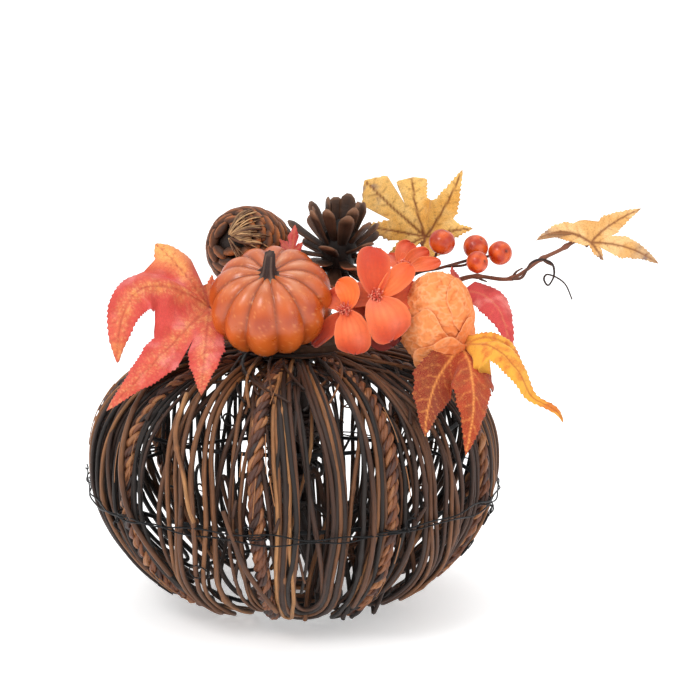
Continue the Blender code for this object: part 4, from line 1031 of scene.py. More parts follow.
def make_leaf(name, spec, material, colour, body, node, held, rests, cell=0.0011, thick=0.00032, seed=1, wave=0.0006, **kw):
    at, normal, lobes, stalk, sinus = spec
    blade = Blade(at, normal, lobes, stalk, sinus, seed=seed, **kw)
    edge = blade.outline()
    lo, hi = edge.min(0), edge.max(0)
    step = cell * 1.0
    gx, gy = np.meshgrid(np.arange(lo[0], hi[0], step), np.arange(lo[1], hi[1], step * 0.866), indexing="ij")
    gx = gx + (np.arange(gy.shape[1]) % 2)[None] * step * 0.5
    pts = np.stack([gx.ravel(), gy.ravel()], 1)
    # keep grid points inside the cut, a little off its edge
    inside = np.zeros(len(pts), bool)
    a, c = edge, np.roll(edge, -1, axis=0)
    for (x1, y1), (x2, y2) in zip(a, c):
        cond = (y1 > pts[:, 1]) != (y2 > pts[:, 1])
        xs = (x2 - x1) * (pts[:, 1] - y1) / ((y2 - y1) if abs(y2 - y1) > 1e-12 else 1e-12) + x1
        inside ^= cond & (pts[:, 0] < xs)
    pts = pts[inside]
    near = np.full(len(pts), 1e9)
    for p in edge:
        near = np.minimum(near, ((pts - p) ** 2).sum(1))
    pts = pts[near > (0.5 * step) ** 2]
    allp = [Vector((float(x), float(y))) for x, y in np.vstack([edge, pts])]
    k = len(edge)
    verts, _, faces, *_ = delaunay_2d_cdt(allp, [(i, (i + 1) % k) for i in range(k)], [list(range(k))], 1, 1e-7)
    flat = np.array([[v.x, v.y] for v in verts])
    world = blade.place(flat[:, 0], flat[:, 1])
    # gentle cockle in the cloth
    r = np.random.default_rng(seed)
    off = r.uniform(0, 50, 3)
    bump = np.array([noise.noise(Vector((p[0] * 95 + off[0], p[1] * 95 + off[1], off[2]))) for p in flat])
    idx, T, Q, half, stalkf, main, side = vein_fields(blade, flat[:, 0], flat[:, 1])
    fade = np.clip(np.hypot(flat[:, 0], flat[:, 1]) / 0.012, 0, 1) * (~stalkf)
    world = world + blade.n * (bump * wave * 2.4 * fade)[:, None]
    world = world - blade.n * (0.00022 * main * (~stalkf))[:, None]
    col = colour(blade, flat, idx, T, Q, half, stalkf, main, side, world)
    b = Build()
    flow = np.stack([flat[:, 0] * 100, flat[:, 1] * 100, np.zeros(len(flat)) + seed], 1)
    # the faces as the triangulation gives them
    fs = []
    for f in faces:
        p, q, s = (world[i] for i in f[:3])
        fs.append(tuple(f))
    b.add(world, fs, col, flow)
    ob = b.finish(name, material, body, (node,))
    sol = ob.modifiers.new("cloth", "SOLIDIFY")
    sol.thickness, sol.offset = thick, 0.0
    area = 0.5 * abs(float(np.sum(edge[:, 0] * np.roll(edge[:, 1], -1) - np.roll(edge[:, 0], -1) * edge[:, 1])))
    best = None
    for turn in np.radians(np.arange(0, 180, 2)):
        q = edge @ np.array([[cos(turn), -sin(turn)], [sin(turn), cos(turn)]])
        size = q.max(0) - q.min(0)
        if best is None or size[0] * size[1] < best[0] * best[1]:
            best = size
    w, h = float(best[0]), float(best[1])
    print("FLAT", name, round(w * 1000, 1), round(h * 1000, 1), "mm, area", round(area * 1e6), "mm2", "fill", round(area / (w * h), 2), "verts", len(flat))
    area = min(max(area, 0.302 * w * h), w * h)
    return ob


def patches(flat, scale, seed, lo=0.05, hi=0.45):
    return np.clip((np.array([noise.fractal(Vector((p[0] * scale + seed, p[1] * scale, seed)), 1.0, 2.0, 3) for p in flat]) - lo) / (hi - lo), 0, 1)


SPECS = {
    "maple_leaf_left": ((-47, -24, 180), (0.0, -0.78, 0.62),
        [((-61, -25, 200), (-77, -15, 215), 12.5, "broad"), ((-84, -42, 193), (-95.5, -54, 154), 12.5, "broad"), ((-74, -62, 158), (-103, -60, 127.5), 11.0),
         ((-47, -62, 163), (-48.5, -77, 143), 10.0), ((-46, -18, 188), (-46, -12, 196), 4.0)], ((-40, -6, 168), (-30, 4, 159.5)), 0.66),
    "maple_leaf_tan": ((77, 45, 208.5), (0.05, -0.90, 0.30),
        [((58, 52, 223), (38.5, 56, 239), 10.5, "corner"), ((71.5, 47, 227), (71.5, 52, 244), 7.6, "square"), ((88, 40, 228), (98, 42, 249), 7.5),
         ((91.5, 36, 213.5), (104, 35, 215), 5.0), ((59, 50, 211), (38.5, 54, 213), 7.0), ((65.5, 47, 203), (54, 52, 195), 6.0),
         ((73, 42, 200), (67, 44, 190.5), 4.5)], ((60, 38, 180), (34, 31, 162)), 0.62),
    "maple_leaf_pink": ((98, -6, 185), (0.50, -0.75, 0.45),
        [((114.5, -18, 179.5), (123.5, -30, 153), 10.5), ((92, -10, 193), (90, -14, 201.5), 4.2)], ((68, 0, 171), (37, 3, 161)), 0.42),
    "maple_leaf_drooping": ((94.5, -47, 162), (0.40, -0.75, 0.50),
        [((78, -72, 145), (72.5, -98, 123.5), 12.5), ((99, -76, 143), (94.5, -96, 112.5), 11.5), ((119, -63, 158), (141, -60, 112), 8.0, "long", (9, 2, 9.5)),
         ((116, -52, 166), (130, -43, 141), 3.8, "strap")], None, 0.42),
    "maple_leaf_small": ((-1, 3, 206), (0.0, -1.0, 0.10),
        [((0, 4, 214), (1, 5, 222), 4.0), ((-4.5, 3, 210), (-8, 3, 214), 3.0), ((2.5, 4, 209), (5, 4, 212), 2.5)], ((-0.5, 6, 190), (0, 6, 163.5)), 0.45),
    "twig_leaf": ((169, -3.2, 213), (0.0, -1.0, 0.10),
        [((153, -5, 218), (139.5, -8, 207.5), 5.5), ((156, -4, 219.5), (143.5, -4, 221), 4.5, "broad"), ((181, -1, 223.5), (197.5, 0, 232), 6.0),
         ((190, -2, 210), (208, -1, 200.5), 6.0), ((173, -4.5, 208), (176, -6, 203), 2.6)], None, 0.36),
}


def red_leaf(blade, flat, idx, T, Q, half, stalkf, main, side, world):
    z = world[:, 2]
    col = mixc(lin("#cc4a42"), lin("#d8706c"), patches(flat, 60, 3.1))
    col = mixc(col, lin("#b8362c"), patches(flat, 110, 8.7) * 0.6)
    gold = np.clip(smooth01((z - 0.196) / 0.018) * 0.75 + 0.9 * np.exp(-((Q / 0.0042) ** 2)) * (0.35 + 0.5 * patches(flat, 150, 5)), 0, 0.9)
    col = mixc(col, lin("#f0aa5e"), gold * (0.35 + 0.65 * smooth01((z - 0.135) / 0.07)))
    speck = patches(flat, 900, 2.0, 0.12, 0.3)
    col = mixc(col, lin("#f7cf86"), speck * np.exp(-((Q / 0.006) ** 2)) * 0.28)
    col = mixc(col, lin("#9e2f28"), np.clip(side * 0.45 + main * 0.6, 0, 0.8))
    return np.where(stalkf[:, None], lin("#5b2a20"), col)


def tan_leaf(blade, flat, idx, T, Q, half, stalkf, main, side, world):
    col = mixc(lin("#f3c06a"), lin("#e9ad52"), patches(flat, 70, 4.4))
    col = mixc(col, lin("#f6cf86"), patches(flat, 160, 9.1) * 0.45)
    edge = np.clip(np.abs(Q) / (half + 1e-6) - 0.45, 0, 0.6) / 0.6
    grey = np.clip(smooth01((0.070 - world[:, 0]) / 0.022) * (0.25 + patches(flat, 120, 6.0) * 0.9) * (0.25 + edge) + edge * 0.30 * patches(flat, 200, 1.0), 0, 0.72)
    spots = smooth01((patches(flat, 130, 6.0) - 0.30) / 0.16) * smooth01((0.053 - world[:, 0]) / 0.008) * smooth01((world[:, 2] - 0.217) / 0.006)
    col = mixc(col, lin("#8d776c"), np.maximum(grey * 0.6, spots * 0.85))
    col = mixc(col, lin("#6b2f14"), np.clip(main * 1.15 + side * 0.60, 0, 0.95))
    stip = patches(flat, 1400, 2.6, 0.15, 0.3)
    col = mixc(col, lin("#a86c34"), stip * 0.14)
    return np.where(stalkf[:, None], lin("#6b4024"), col)


def pink_leaf(blade, flat, idx, T, Q, half, stalkf, main, side, world):
    col = mixc(lin("#cc4a48"), lin("#e07a72"), patches(flat, 90, 1.4))
    col = mixc(col, lin("#b03430"), patches(flat, 140, 7.7) * 0.5)
    col = mixc(col, lin("#dc8a62"), np.clip(main * 0.5 + side * 0.25, 0, 0.6))
    return np.where(stalkf[:, None], lin("#4a2318"), col)


def drooping_leaf(blade, flat, idx, T, Q, half, stalkf, main, side, world):
    left = smooth01((0.088 - world[:, 0]) / 0.010)
    col = mixc(mixc(lin("#96260f"), lin("#ac371a"), patches(flat, 80, 2.4)), lin("#74150b"), left * 0.8)
    col = mixc(col, lin("#7a3c18"), patches(flat, 150, 5.9) * 0.35)
    sunny = np.array([1.0 if r["tip"][0] > 0.12 else 0.0 for r in blade.ribs])[idx]
    gold = np.clip(sunny * smooth01((np.hypot(flat[:, 0], flat[:, 1]) - 0.001) / 0.008) + 0.5 * smooth01((world[:, 0] - 0.097) / 0.008) * smooth01((0.016 - np.hypot(flat[:, 0], flat[:, 1])) / 0.01), 0, 1)
    col = mixc(col, mixc(lin("#e2a436"), lin("#cf7428"), patches(flat, 120, 3.3)), gold * 0.95)
    vein = mixc(lin("#e8964a"), lin("#b0561e"), gold)
    col = mixc(col, vein, np.clip(main * 0.85 + side * 0.55, 0, 0.9))
    return np.where(stalkf[:, None], lin("#6b3018"), col)


def twig_leaf_colour(blade, flat, idx, T, Q, half, stalkf, main, side, world):
    col = mixc(lin("#efc083"), lin("#dfa864"), patches(flat, 90, 4.4))
    col = mixc(col, lin("#8d7568"), smooth01((np.abs(T) - 0.50) / 0.3) * (0.50 + 0.5 * patches(flat, 170, 6.0)) * (world[:, 2] < 0.222))
    col = mixc(col, lin("#75401f"), np.clip(main + side * 0.5, 0, 0.9))
    return col


LEAF_RED = leaf_veins(surface("red_leaf_cloth", var=0.12, scale=(9, 9, 9), rough=(0.6, 0.8), bump=0.35, depth=0.00016, weave=6.0, spec=0.25, sheen=0.12), 4.2, lin("#a23428"), 0.5)
LEAF_TAN = leaf_veins(surface("tan_leaf_cloth", var=0.10, scale=(9, 9, 9), rough=(0.6, 0.8), bump=0.35, depth=0.00016, weave=6.0, spec=0.25, sheen=0.12), 2.8, lin("#8a5228"), 0.42)
LEAF_PINK = leaf_veins(surface("pink_leaf_cloth", var=0.12, scale=(9, 9, 9), rough=(0.6, 0.8), bump=0.35, depth=0.00016, weave=6.0, spec=0.25, sheen=0.12), 4.2, lin("#8f2a28"), 0.45)
LEAF_DARK = leaf_veins(surface("veined_leaf_cloth", var=0.16, scale=(9, 9, 9), rough=(0.6, 0.8), bump=0.4, depth=0.00018, weave=6.0, spec=0.25, sheen=0.12), 2.6, lin("#e0964e"), 0.34)

leaf = make_leaf("red_maple_leaf", SPECS["maple_leaf_left"], LEAF_RED, red_leaf, "left_leaf", "maple_leaf_left", "stretched", ["foam_mound"], seed=11, chord=True, web={0: 0.80, 1: 0.40, 2: 0.36})
leaf = make_leaf("tan_maple_leaf", SPECS["maple_leaf_tan"], LEAF_TAN, tan_leaf, "tan_leaf", "maple_leaf_tan", "stretched", ["foam_mound"], seed=12, teeth=0.0013)
leaf = make_leaf("pink_maple_leaf", SPECS["maple_leaf_pink"], LEAF_PINK, pink_leaf, "pink_leaf", "maple_leaf_pink", "stretched", ["foam_mound"], seed=13)
leaf = make_leaf("veined_maple_leaf", SPECS["maple_leaf_drooping"], LEAF_DARK, drooping_leaf, "drooping_leaf", "maple_leaf_drooping", "stretched", ["paper_bud_wrap"], seed=14, focus=True)
leaf = make_leaf("small_red_leaf", SPECS["maple_leaf_small"], LEAF_PINK, pink_leaf, "cage", "maple_leaf_small", "stretched", ["foam_mound"], seed=15, cell=0.0007, teeth=0.0007, pitch=0.0018)
leaf = make_leaf("twig_end_maple_leaf", SPECS["twig_leaf"], LEAF_TAN, twig_leaf_colour, "twig_end_leaf", "twig_leaf", "stretched", ["twig"], seed=16, cell=0.0008, teeth=0.0009, pitch=0.0022)

# ------------------------------------------------------------------ silk flowers


def petal_grid(at, normal, over, tip, half, cup, ruffle, seed, na=34, nc=25):
    """One cupped petal from its root to its round tip, and its flat area."""
    at, tip = np.array(at, float) * 0.001, np.array(tip, float) * 0.001
    bend = np.array(over, float) * 0.002 - (at + tip) / 2
    n = unit(normal)
    t = np.linspace(0.0, 1.0, na)
    s = np.linspace(-1, 1, nc)
    w = half * 0.001 * np.interp(t, [0, 0.08, 0.25, 0.45, 0.65, 0.80, 0.90, 0.96, 0.985, 1.0], [0.20, 0.34, 0.70, 0.95, 1.0, 0.92, 0.74, 0.52, 0.36, 0.12])
    c, g = bez(at, bend, tip, t), bez_dir(at, bend, tip, t)
    side = np.cross(n, g)
    side /= np.linalg.norm(side, axis=1, keepdims=True)
    up = np.cross(g, side)
    rng = np.random.default_rng(seed)
    r = cup * 0.001 * np.outer(np.interp(t, [0, 0.3, 0.8, 1], [0.4, 1, 0.75, 0.2]), s ** 2)
    ph = rng.uniform(0, 6.28, 3)
    edge = np.abs(s) ** 2.5
    r = r + ruffle * 0.001 * np.outer(smooth01(t * 1.3), edge) * np.sin(11 * t + ph[0])[:, None] + ruffle * 0.0006 * np.outer(smooth01((t - 0.5) * 2), np.sin(7 * s + ph[1]))
    p = c[:, None] + (w[:, None] * s[None])[..., None] * side[:, None] + r[..., None] * up[:, None]
    long = np.linalg.norm(np.diff(c, axis=0), axis=1).sum()
    area = float(np.trapz(2 * w, t) * long)
    return p, t, s, area


def silk_flower(name, node, at, normal, petals, stamen_axis, stamen_n, stamen_len, seed, stamens):
    b = Build()
    lo, hi = 1e9, -1e9
    for k, (over, tip, half, cup, ruffle, tone) in enumerate(petals):
        p, t, s, area = petal_grid(at, normal, over, tip, half, cup, ruffle, seed + k)
        deep, pale = lin("#c83c14"), lin("#e2622e")
        pink = lin("#e87f62")
        g = mixc(pale, deep, smooth01((t - 0.35) / 0.55)[:, None] * np.ones(len(s)) * 0.9)
        # painted highlight: a pale patch in the middle of each petal
        g = mixc(g, lin("#f3905e"), (np.exp(-(((t - 0.42) / 0.22) ** 2))[:, None] * np.exp(-((s / 0.6) ** 2))[None]) * 0.40)
        # painted highlight: a pale pink patch towards the tip, to one side
        g = mixc(g, pink, (np.exp(-(((t - 0.70) / 0.16) ** 2))[:, None] * np.exp(-(((s - 0.35) / 0.4) ** 2))[None]) * 0.45)
        if tone < 0:
            g = mixc(g, lin("#f06a1c"), -tone * np.ones(g.shape[:2]))
        g = mixc(g, lin("#b82c0c"), min(max(tone, 0), 1) * 0.80 * np.ones(g.shape[:2]))
        # a tone over 1 turns the petal near-black red: partly a dark petal, partly painted shade under the flowers
        if tone > 1:
            g = mixc(g, lin("#55100a"), 0.85 * np.ones(g.shape[:2]))
        ribs = np.abs(np.sin(s * 9 + 0.4))[None] ** 6 * smooth01(1.2 - t)[:, None]
        g = mixc(g, lin("#b83416"), ribs * 0.28)
        g = mixc(g, lin("#ee8450"), (np.abs(s) ** 6)[None] * np.ones((len(t), 1)) * (0.4 if tone < 1 else 0))
        flow = np.stack([np.repeat(t, len(s)).reshape(len(t), -1) * 2.2, np.tile(s, (len(t), 1)) * 0.9, np.full((len(t), len(s)), k + 0.5)], -1)
        b.grid(p, g, flow)
    ob = b.finish(name, M["petal"], "cage", (node,))
    sol = ob.modifiers.new("silk", "SOLIDIFY")
    sol.thickness, sol.offset = 0.00028, 0.0
    # thread stamens
    b = Build()
    rng = np.random.default_rng(seed + 50)
    root = np.array(at, float) * 0.001 + unit(normal) * 0.0012
    ax = unit(stamen_axis)
    x = unit(np.cross(ax, [0.3, 0.2, 1.0]))
    y = np.cross(ax, x)
    for k in range(stamen_n):
        a = rng.uniform(0, 2 * pi)
        sp = radians(62) * sqrt(rng.uniform(0, 1))
        d = unit(ax * cos(sp) + (x * cos(a) + y * sin(a)) * sin(sp))
        long = stamen_len * rng.uniform(0.75, 1.1)
        tt = np.linspace(0, 1, 7)
        pts = root + np.outer(tt * long, d) + np.outer(tt ** 2 * long * 0.18, unit(rng.normal(size=3))) + rng.normal(0, 0.0006, 3)
        b.tube(pts, 0.00020, 4, mixc(lin("#f59a88"), lin("#d84a3a"), rng.uniform(0, 1)))
        b.ball(pts[-1], (0.00042, 0.00042, 0.00060), spin_to(d), mixc(lin("#f7a58a"), lin("#d9503a"), rng.uniform(0, 1)), 4, 5)
    b.finish(name + "_stamens", M["stamen"], "cage", (stamens,))


silk_flower("silk_flower_left", "flower_left", (30, -48, 182), (-0.10, -0.85, 0.50),
            [((21.7, -48, 173.4), (11, -38, 161), 5.5, 1.6, 0.8, 0.9), ((26.0, -45, 187), (19, -36, 189), 7.0, 1.6, 0.8, 0.25),
             ((31.5, -48, 192), (25.6, -42, 198), 6.5, 2.6, 0.6, -0.7), ((33.3, -60, 172.8), (35, -58, 160), 10.0, 3.4, 0.6, 0.05),
             ((38, -43, 181), (46, -38, 176), 8.0, 1.6, 0.8, 0.75)],
            (-0.35, -0.8, 0.35), 80, 0.0046, 900, "flower_left_stamens")
silk_flower("silk_flower_middle", "flower_middle", (46.5, -43, 188.5), (0.15, -0.85, 0.50),
            [((50, -44, 174), (57, -46, 162), 12.0, 1.5, 1.2, 2.0), ((38, -40, 189), (30, -32, 189), 9.0, 2.0, 0.7, 0.35),
             ((60.9, -41, 189.5), (70.6, -32, 193.5), 9.5, 3.0, 0.4, 0.55),
             ((44.9, -44, 203.3), (45.5, -34, 215.5), 9.6, 2.8, 0.3, 0.95), ((57, -44, 197.5), (66, -36, 206), 6.6, 2.6, 0.6, -0.35),
             ((51.9, -60, 181.5), (55.0, -57, 167.5), 12.6, 3.8, 0.4, 0.0)],
            (-0.30, -0.8, 0.45), 90, 0.0048, 930, "flower_middle_stamens")
silk_flower("silk_flower_back", "flower_back", (62, -8, 198), (0.20, -0.75, 0.63),
            [((59.4, -8, 202.7), (54, 0, 206), 6.5, 1.8, 0.6, 0.3), ((63.4, -4, 206), (67, 2, 212), 6.5, 1.8, 0.6, 0.2),
             ((69, -8, 204), (77, -8, 209), 5.5, 1.6, 0.6, 0.1), ((71.4, -20, 202.3), (83, -15, 204.5), 4.6, 1.8, 0.6, -0.2)],
            (0.2, -0.7, 0.6), 60, 0.0050, 960, "flower_back_stamens")

# ------------------------------------------------------------------ paper bud
BUD_AT, BUD_HALF = np.array([0.0807, -0.035, 0.1757]), np.array([0.0202, 0.0200, 0.0258])


def crumple(p, scale, seed):
    """Crumpled paper: flat facets meeting at sharp folds, over several sizes. 0 to 1."""
    out = np.zeros(len(p))
    for i, q in enumerate(p):
        v = Vector((q[0] * scale + seed, q[1] * scale, q[2] * scale))
        w = v + noise.noise_vector(v * 1.1) * 0.55
        big = noise.voronoi(w * 0.9)[0]
        small = noise.voronoi(w * 2.1 + Vector((5, 1, 2)))[0]
        line = abs(noise.noise(w * 3.4)) * 0.30
        out[i] = min(1.0, 0.50 * big[0] + 0.32 * small[0] + line + 0.10 * min(1.0, (small[1] - small[0]) * 2.0))
    return out


def ridges(p, scale, seed):
    """Fine, sharp wrinkles: 1 along a fold, falling to 0 between folds."""
    return np.array([max(0.0, 1 - abs(noise.fractal(Vector((q[0] * scale + seed, q[1] * scale, q[2] * scale * 1.7)), 1.0, 2.1, 3)) * 3.4) for q in p])


def paper_shaded_colour(cr, fine, d):
    # painted light: darker in the creases (painted shade), paler along the fine folds (painted highlight), deeper
    # orange on the lower right (painted shade)
    col = mixc(lin("#c45f28"), lin("#e98d52"), smooth01((cr - 0.12) / 0.42))
    col = mixc(col, lin("#f3ac7c"), np.clip(fine - 0.30, 0, 0.70) * 0.9)
    return mixc(col, lin("#dd6f36"), np.clip(d[:, 0] * 0.35 - d[:, 2] * 0.25, 0, 0.45))


def bud():
    b = Build()
    nv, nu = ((120, 170))
    v = pi * np.linspace(0.012, 0.988, nv)
    u = 2 * pi * np.arange(nu) / nu
    V, U = np.meshgrid(v, u, indexing="ij")
    d = np.stack([np.sin(V) * np.cos(U), np.sin(V) * np.sin(U), np.cos(V)], -1).reshape(-1, 3)
    cr, fine = crumple(d, 2.6, 3.7), ridges(d, 3.0, 4.0)
    sc = 0.945 + 0.085 * cr + 0.030 * fine
    p = BUD_AT + d * BUD_HALF * sc[:, None]
    faces = [(j * nu + i, (j + 1) * nu + i, (j + 1) * nu + (i + 1) % nu, j * nu + (i + 1) % nu) for j in range(nv - 1) for i in range(nu)]
    faces += [tuple(range(nu)), tuple(reversed(range((nv - 1) * nu, nv * nu)))]
    b.add(p, faces, paper_shaded_colour(cr, fine, d))
    b.finish("crumpled_bud", M["paper"], "cage", ("paper_bud",))
    # overlapping sheets: middle direction, half widths (radians), scale, how far the rim lifts
    b = Build()
    wraps = [((0.0, 0.9, -0.4), 1.0, 0.8, 1.025, 0.03), ((0.75, -0.30, 0.30), 0.95, 0.80, 1.012, 0.012),
             ((0.80, -0.50, -0.50), 0.62, 0.62, 1.035, 0.075), ((0.18, -0.72, -0.78), 0.80, 0.62, 1.16, 0.12),
             ((-0.42, -0.95, -0.40), 0.74, 0.68, 1.085, 0.045), ((-0.98, -0.45, -0.42), 0.46, 0.52, 1.05, 0.09), ((0.42, -0.60, -0.95), 0.46, 0.50, 1.07, 0.06)]
    for k, (mid, ha, hb, scale, curl) in enumerate(wraps):
        m = unit(mid)
        upv = unit(np.array([0, 0, 1.0]) - m * m[2])
        sd = np.cross(upv, m)
        na = 60
        S, T = np.meshgrid(np.linspace(-1, 1, na), np.linspace(-1, 1, na), indexing="ij")
        R, TH = np.maximum(np.abs(S), np.abs(T)), np.arctan2(T, S)
        R = R * (1 + 0.07 * np.sin(3 * TH + k) + 0.05 * np.sin(5 * TH + 2 * k))
        A, B = R * np.cos(TH) * ha, R * np.sin(TH) * hb
        dd = m + sd * np.tan(np.clip(A, -1.2, 1.2))[..., None] * 0.9 + upv * np.tan(np.clip(B, -1.2, 1.2))[..., None] * 0.9
        dd /= np.linalg.norm(dd, axis=-1, keepdims=True)
        dd = dd.reshape(-1, 3)
        cr, fine = crumple(dd, 2.6, 20.3 + k), ridges(dd, 3.4, 11.0 + k)
        rim = np.maximum(np.abs(S), np.abs(T)).reshape(-1)
        out = scale + curl * smooth01((rim - 0.55) / 0.45) * (0.45 + 0.55 * np.sin(3 * TH.reshape(-1) + k)) + 0.060 * (cr - 0.35) + 0.016 * fine
        col = paper_shaded_colour(cr, fine, dd)
        # painted highlight along the rim of each sheet
        col = mixc(col, lin("#f4b48c"), smooth01((rim - 0.95) / 0.05) * 0.35)
        b.grid((BUD_AT + dd * BUD_HALF * out[:, None]).reshape(na, na, 3), col.reshape(na, na, 3))
    ob = b.finish("bud_wraps", M["paper"], "cage", ("paper_bud_wrap",))
    sol = ob.modifiers.new("paper", "SOLIDIFY")
    sol.thickness, sol.offset = 0.00030, 0.0


bud()

# ------------------------------------------------------------------ berries
BERRY_STEM = [(0.034, -0.004, 0.160), (0.0575, -0.016, 0.185), (0.069, -0.008, 0.1956), (0.0836, 0.0, 0.1978), (0.101, 0.008, 0.2012), (0.1125, 0.008, 0.2034)]
BERRIES = [((0.0844, -0.005, 0.2137), 0.0075, 0.62), ((0.104, 0.003, 0.2094), 0.0072, 0.86), ((0.1177, 0.0, 0.2065), 0.0069, 1.0), ((0.1039, -0.0155, 0.2039), 0.0063, 0.73)]
rng = np.random.default_rng(41)
b = Build()
stem = spline(BERRY_STEM, 90)
b.tube(stem, np.linspace(0.00125, 0.0009, 90) * (1 + wobble(90, 0.12, 12, rng)), 8, mixc(lin("#3a2018"), lin("#6b3b28"), np.clip(wobble(90, 0.9, 9, rng) + 0.4, 0, 1)))
for centre, radius, where in BERRIES:
    c = np.array(centre)
    at = stem[int(round(where * 89))]
    d = unit(c - at)
    mid = (at + c) / 2 + np.array([0, 0, -0.0008])
    b.tube(spline([at, mid, c - d * radius * 0.9], 16), 0.00075, 7, lin("#4a2a1e"))
b.finish("berry_stalks", M["twig"], "berry_spray", ("berry_stem",))
for k, (centre, radius, where) in enumerate(BERRIES):
    c = np.array(centre)
    d = unit(c - stem[int(round(where * 89))])
    b = Build()
    spin = spin_to(d)
    rr = np.random.default_rng(60 + k)
    spots = [unit(rr.normal(size=3)) for _ in range(2)] + [np.array([0, 0, 1.0])]

    def shape(p):
        q = p.copy()
        for i, s in enumerate(spots):
            near = np.arccos(np.clip(p @ s, -1, 1))
            q = q * (1 - (0.10 if i == 2 else 0.035) * np.exp(-((near / (0.24 if i == 2 else 0.17)) ** 2)))[:, None]
        n = np.array([noise.noise(Vector(v * 2.3) + Vector((k, 0, 0))) for v in p])
        return q * (1 + 0.018 * n)[:, None]

    def paint(p):
        u = p / np.linalg.norm(p, axis=1, keepdims=True)
        col = mixc(lin("#a92c08"), lin("#d2551c"), np.clip(np.array([noise.noise(Vector(v * 1.5) + Vector((k + 3, 0, 0))) for v in u]) * 1.6 + 0.5, 0, 1))
        for i, s in enumerate(spots):
            near = np.arccos(np.clip(u @ s, -1, 1))
            col = mixc(col, lin("#4a1a0c"), np.exp(-((near / (0.13 if i == 2 else 0.07)) ** 2)) * (0.95 if i == 2 else 0.5))
        # painted shade: darker on the side towards the stalk
        return mixc(col, lin("#a83a12"), smooth01((-u[:, 2] - 0.55) / 0.4) * 0.6)

    b.ball(c, (radius, radius, radius * 0.97), spin, paint, 30, 44, shape)
    b.finish(f"lacquered_berry_{k + 1}", M["berry"], "berry_spray", (f"berry_{k + 1}",))

# ------------------------------------------------------------------ twig and tendril
TWIG = [(0.036, 0.012, 0.1605), (0.070, 0.012, 0.176), (0.0996, 0.008, 0.191), (0.1236, 0.001, 0.1915), (0.1405, 0.0, 0.2025), (0.1518, 0.0, 0.2082), (0.162, 0.0, 0.214), (0.1677, 0.0, 0.2105)]
TENDRIL = [(0.1245, -0.0022, 0.1917), (0.1302, -0.004, 0.1932), (0.1349, -0.005, 0.2013), (0.1408, -0.005, 0.2036), (0.1468, -0.004, 0.2013), (0.1486, -0.002, 0.1961), (0.1479, 0.0, 0.1912), (0.1454, 0.001, 0.1876), (0.143, 0.0, 0.1912), (0.1444, -0.002, 0.1944), (0.1498, -0.005, 0.1932), (0.1549, -0.006, 0.1891), (0.1587, -0.006, 0.1807)]
rng = np.random.default_rng(43)
b = Build()
pts = spline(TWIG, 150)
rad = np.linspace(0.0015, 0.00105, 150) * (1 + wobble(150, 0.16, 16, rng))
for c in (0.35, 0.52, 0.66, 0.80, 0.9):
    rad = rad + 0.0006 * np.exp(-(((np.linspace(0, 1, 150) - c) / 0.012) ** 2))
b.tube(pts, rad, 9, mixc(lin("#3a2118"), lin("#7a4a35"), np.clip(wobble(150, 0.9, 14, rng) + 0.4, 0, 1)))
for f, up in ((0.66, 0.006), (0.80, -0.004), (0.52, -0.003)):
    p = pts[int(f * 149)]
    b.tube(spline([p, p + np.array([0.0025, 0, up * 0.6]), p + np.array([0.006, -0.001, up])], 12), np.linspace(0.0009, 0.0004, 12), 6, lin("#5a3828"))
b.finish("wrapped_twig", M["twig"], "twig_pick", ("twig",))
b = Build()
pts = spline(TENDRIL, 150)
b.tube(pts, np.linspace(0.0008, 0.00045, 150) * (1 + wobble(150, 0.10, 14, rng)), 7, mixc(lin("#2c1a14"), lin("#5c3a2c"), np.clip(wobble(150, 0.9, 10, rng) + 0.3, 0, 1)))
b.finish("curled_tendril", M["twig"], "twig_pick", ("tendril",))

# ------------------------------------------------------------------ foam mound, moss brown and picked at
lo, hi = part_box("foam_mound")
b = Build()
cx, cy, top = 0.0, 0.006, 0.0
n, m = 72, 26
a = 2 * pi * np.arange(n) / n
r = np.linspace(0, 1, m) ** 0.8 * 0.0378
R, A = np.meshgrid(r, a, indexing="ij")
X, Y = R * np.sin(A), cy - R * np.cos(A)
H = lo.z + 0.0030 + 0.0225 * np.exp(-((X - 0.003) ** 2 + (Y - 0.030) ** 2) / (2 * 0.0125 ** 2))
rough = np.array([noise.fractal(Vector((x * 260, y * 260, 1.0)), 0.8, 2.1, 4) for x, y in zip(X.ravel(), Y.ravel())]).reshape(X.shape)
H = np.maximum(H + rough * 0.0016, lo.z + 0.0006)
H[-1] = lo.z + 0.0003
P = np.stack([X, Y, H], -1)
under = np.stack([X, Y, np.full_like(X, lo.z - 0.0006)], -1)[::-1]
V = np.vstack([P.reshape(-1, 3), under.reshape(-1, 3)])
faces = []
for j in range(2 * m - 1):
    for i in range(n):
        k = (i + 1) % n
        faces.append((j * n + i, (j + 1) * n + i, (j + 1) * n + k, j * n + k))
b.add(V, faces, lin("#4a3020"))
b.finish("moss_foam", M["foam"], "cage", ("foam_mound",))

for name in ("upper_frame_ring", "belly_frame_ring", "foot_frame_ring"):
    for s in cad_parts[name].material_slots:
        s.material = M["wire"]

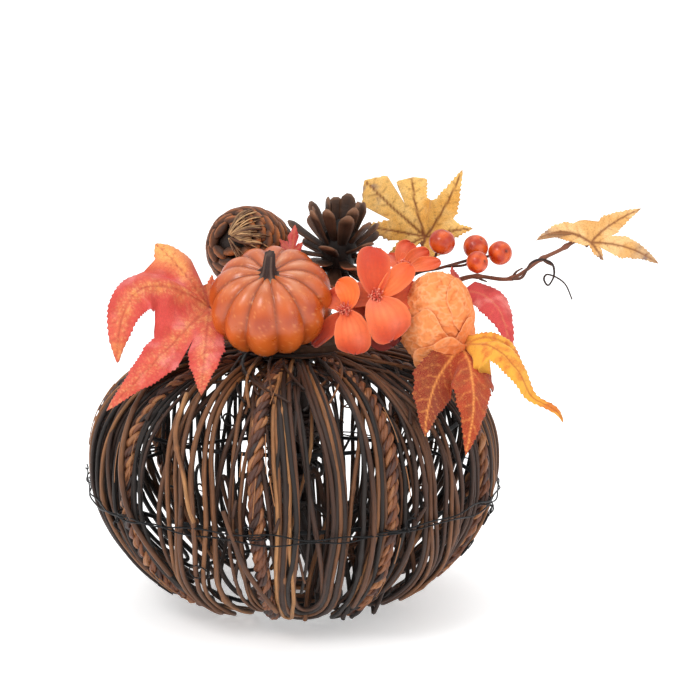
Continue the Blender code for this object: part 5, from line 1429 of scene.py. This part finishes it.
# ------------------------------------------------------------------ floor, light and camera
def studio():
    me = bpy.data.meshes.new("studio_floor")
    n, size = 2, 6.0
    me.from_pydata([(-size, -size, 0), (size, -size, 0), (size, 8 * size, 0), (-size, 8 * size, 0)], [], [(0, 1, 2, 3)])
    floor = bpy.data.objects.new("studio_floor", me)
    bpy.context.scene.collection.objects.link(floor)
    m = bpy.data.materials.new("white_paper_floor")
    m.use_nodes = True
    nt = m.node_tree
    b = nt.nodes["Principled BSDF"]
    nz = nt.nodes.new("ShaderNodeTexNoise")
    nz.inputs["Scale"].default_value = 3.0
    mr = nt.nodes.new("ShaderNodeMapRange")
    mr.inputs["To Min"].default_value, mr.inputs["To Max"].default_value = 0.985, 0.995
    nt.links.new(nz.outputs["Fac"], mr.inputs["Value"])
    cb = nt.nodes.new("ShaderNodeCombineColor")
    for i in range(3):
        nt.links.new(mr.outputs["Result"], cb.inputs[i])
    nt.links.new(cb.outputs["Color"], b.inputs["Base Color"])
    b.inputs["Roughness"].default_value = 0.9
    b.inputs["Specular IOR Level"].default_value = 0.1
    nt.links.new(cb.outputs["Color"], b.inputs["Emission Color"])
    b.inputs["Emission Strength"].default_value = 0.30
    me.materials.append(m)
    w = bpy.data.worlds.new("studio")
    w.use_nodes = True
    w.node_tree.nodes["Background"].inputs["Color"].default_value = (1, 1, 1, 1)
    w.node_tree.nodes["Background"].inputs["Strength"].default_value = 1.0
    bpy.context.scene.world = w
    for name, loc, size, power in (("key", (-0.9, -1.3, 1.7), 0.7, 15.0), ("fill", (1.3, -1.3, 0.9), 1.0, 4.0), ("top", (0.1, 0.3, 1.9), 1.2, 6.0)):
        d = bpy.data.lights.new(name, "AREA")
        d.size, d.energy = size, power
        o = bpy.data.objects.new(name, d)
        o.location = loc
        o.rotation_mode = "QUATERNION"
        o.rotation_quaternion = (Vector((0.02, 0, 0.12)) - Vector(loc)).to_track_quat("-Z", "Y")
        bpy.context.scene.collection.objects.link(o)


studio()
cam = bpy.data.cameras.new("camera")
cam.lens, cam.sensor_width = 116.28, 36.0
cam.clip_start, cam.clip_end = 0.05, 20.0
eye = bpy.data.objects.new("camera", cam)
look = Vector((0.0322, 0.0, 0.150))
e = radians(12.0)
eye.location = look + Vector((0, -cos(e), sin(e))) * 1.30
eye.rotation_mode = "QUATERNION"
eye.rotation_quaternion = (look - eye.location).to_track_quat("-Z", "Y")
bpy.context.scene.collection.objects.link(eye)
sc = bpy.context.scene
sc.camera = eye
sc.view_settings.view_transform = "Standard"
sc.view_settings.look = "None"
sc.view_settings.exposure = 0.0
sc.view_settings.gamma = 1.0
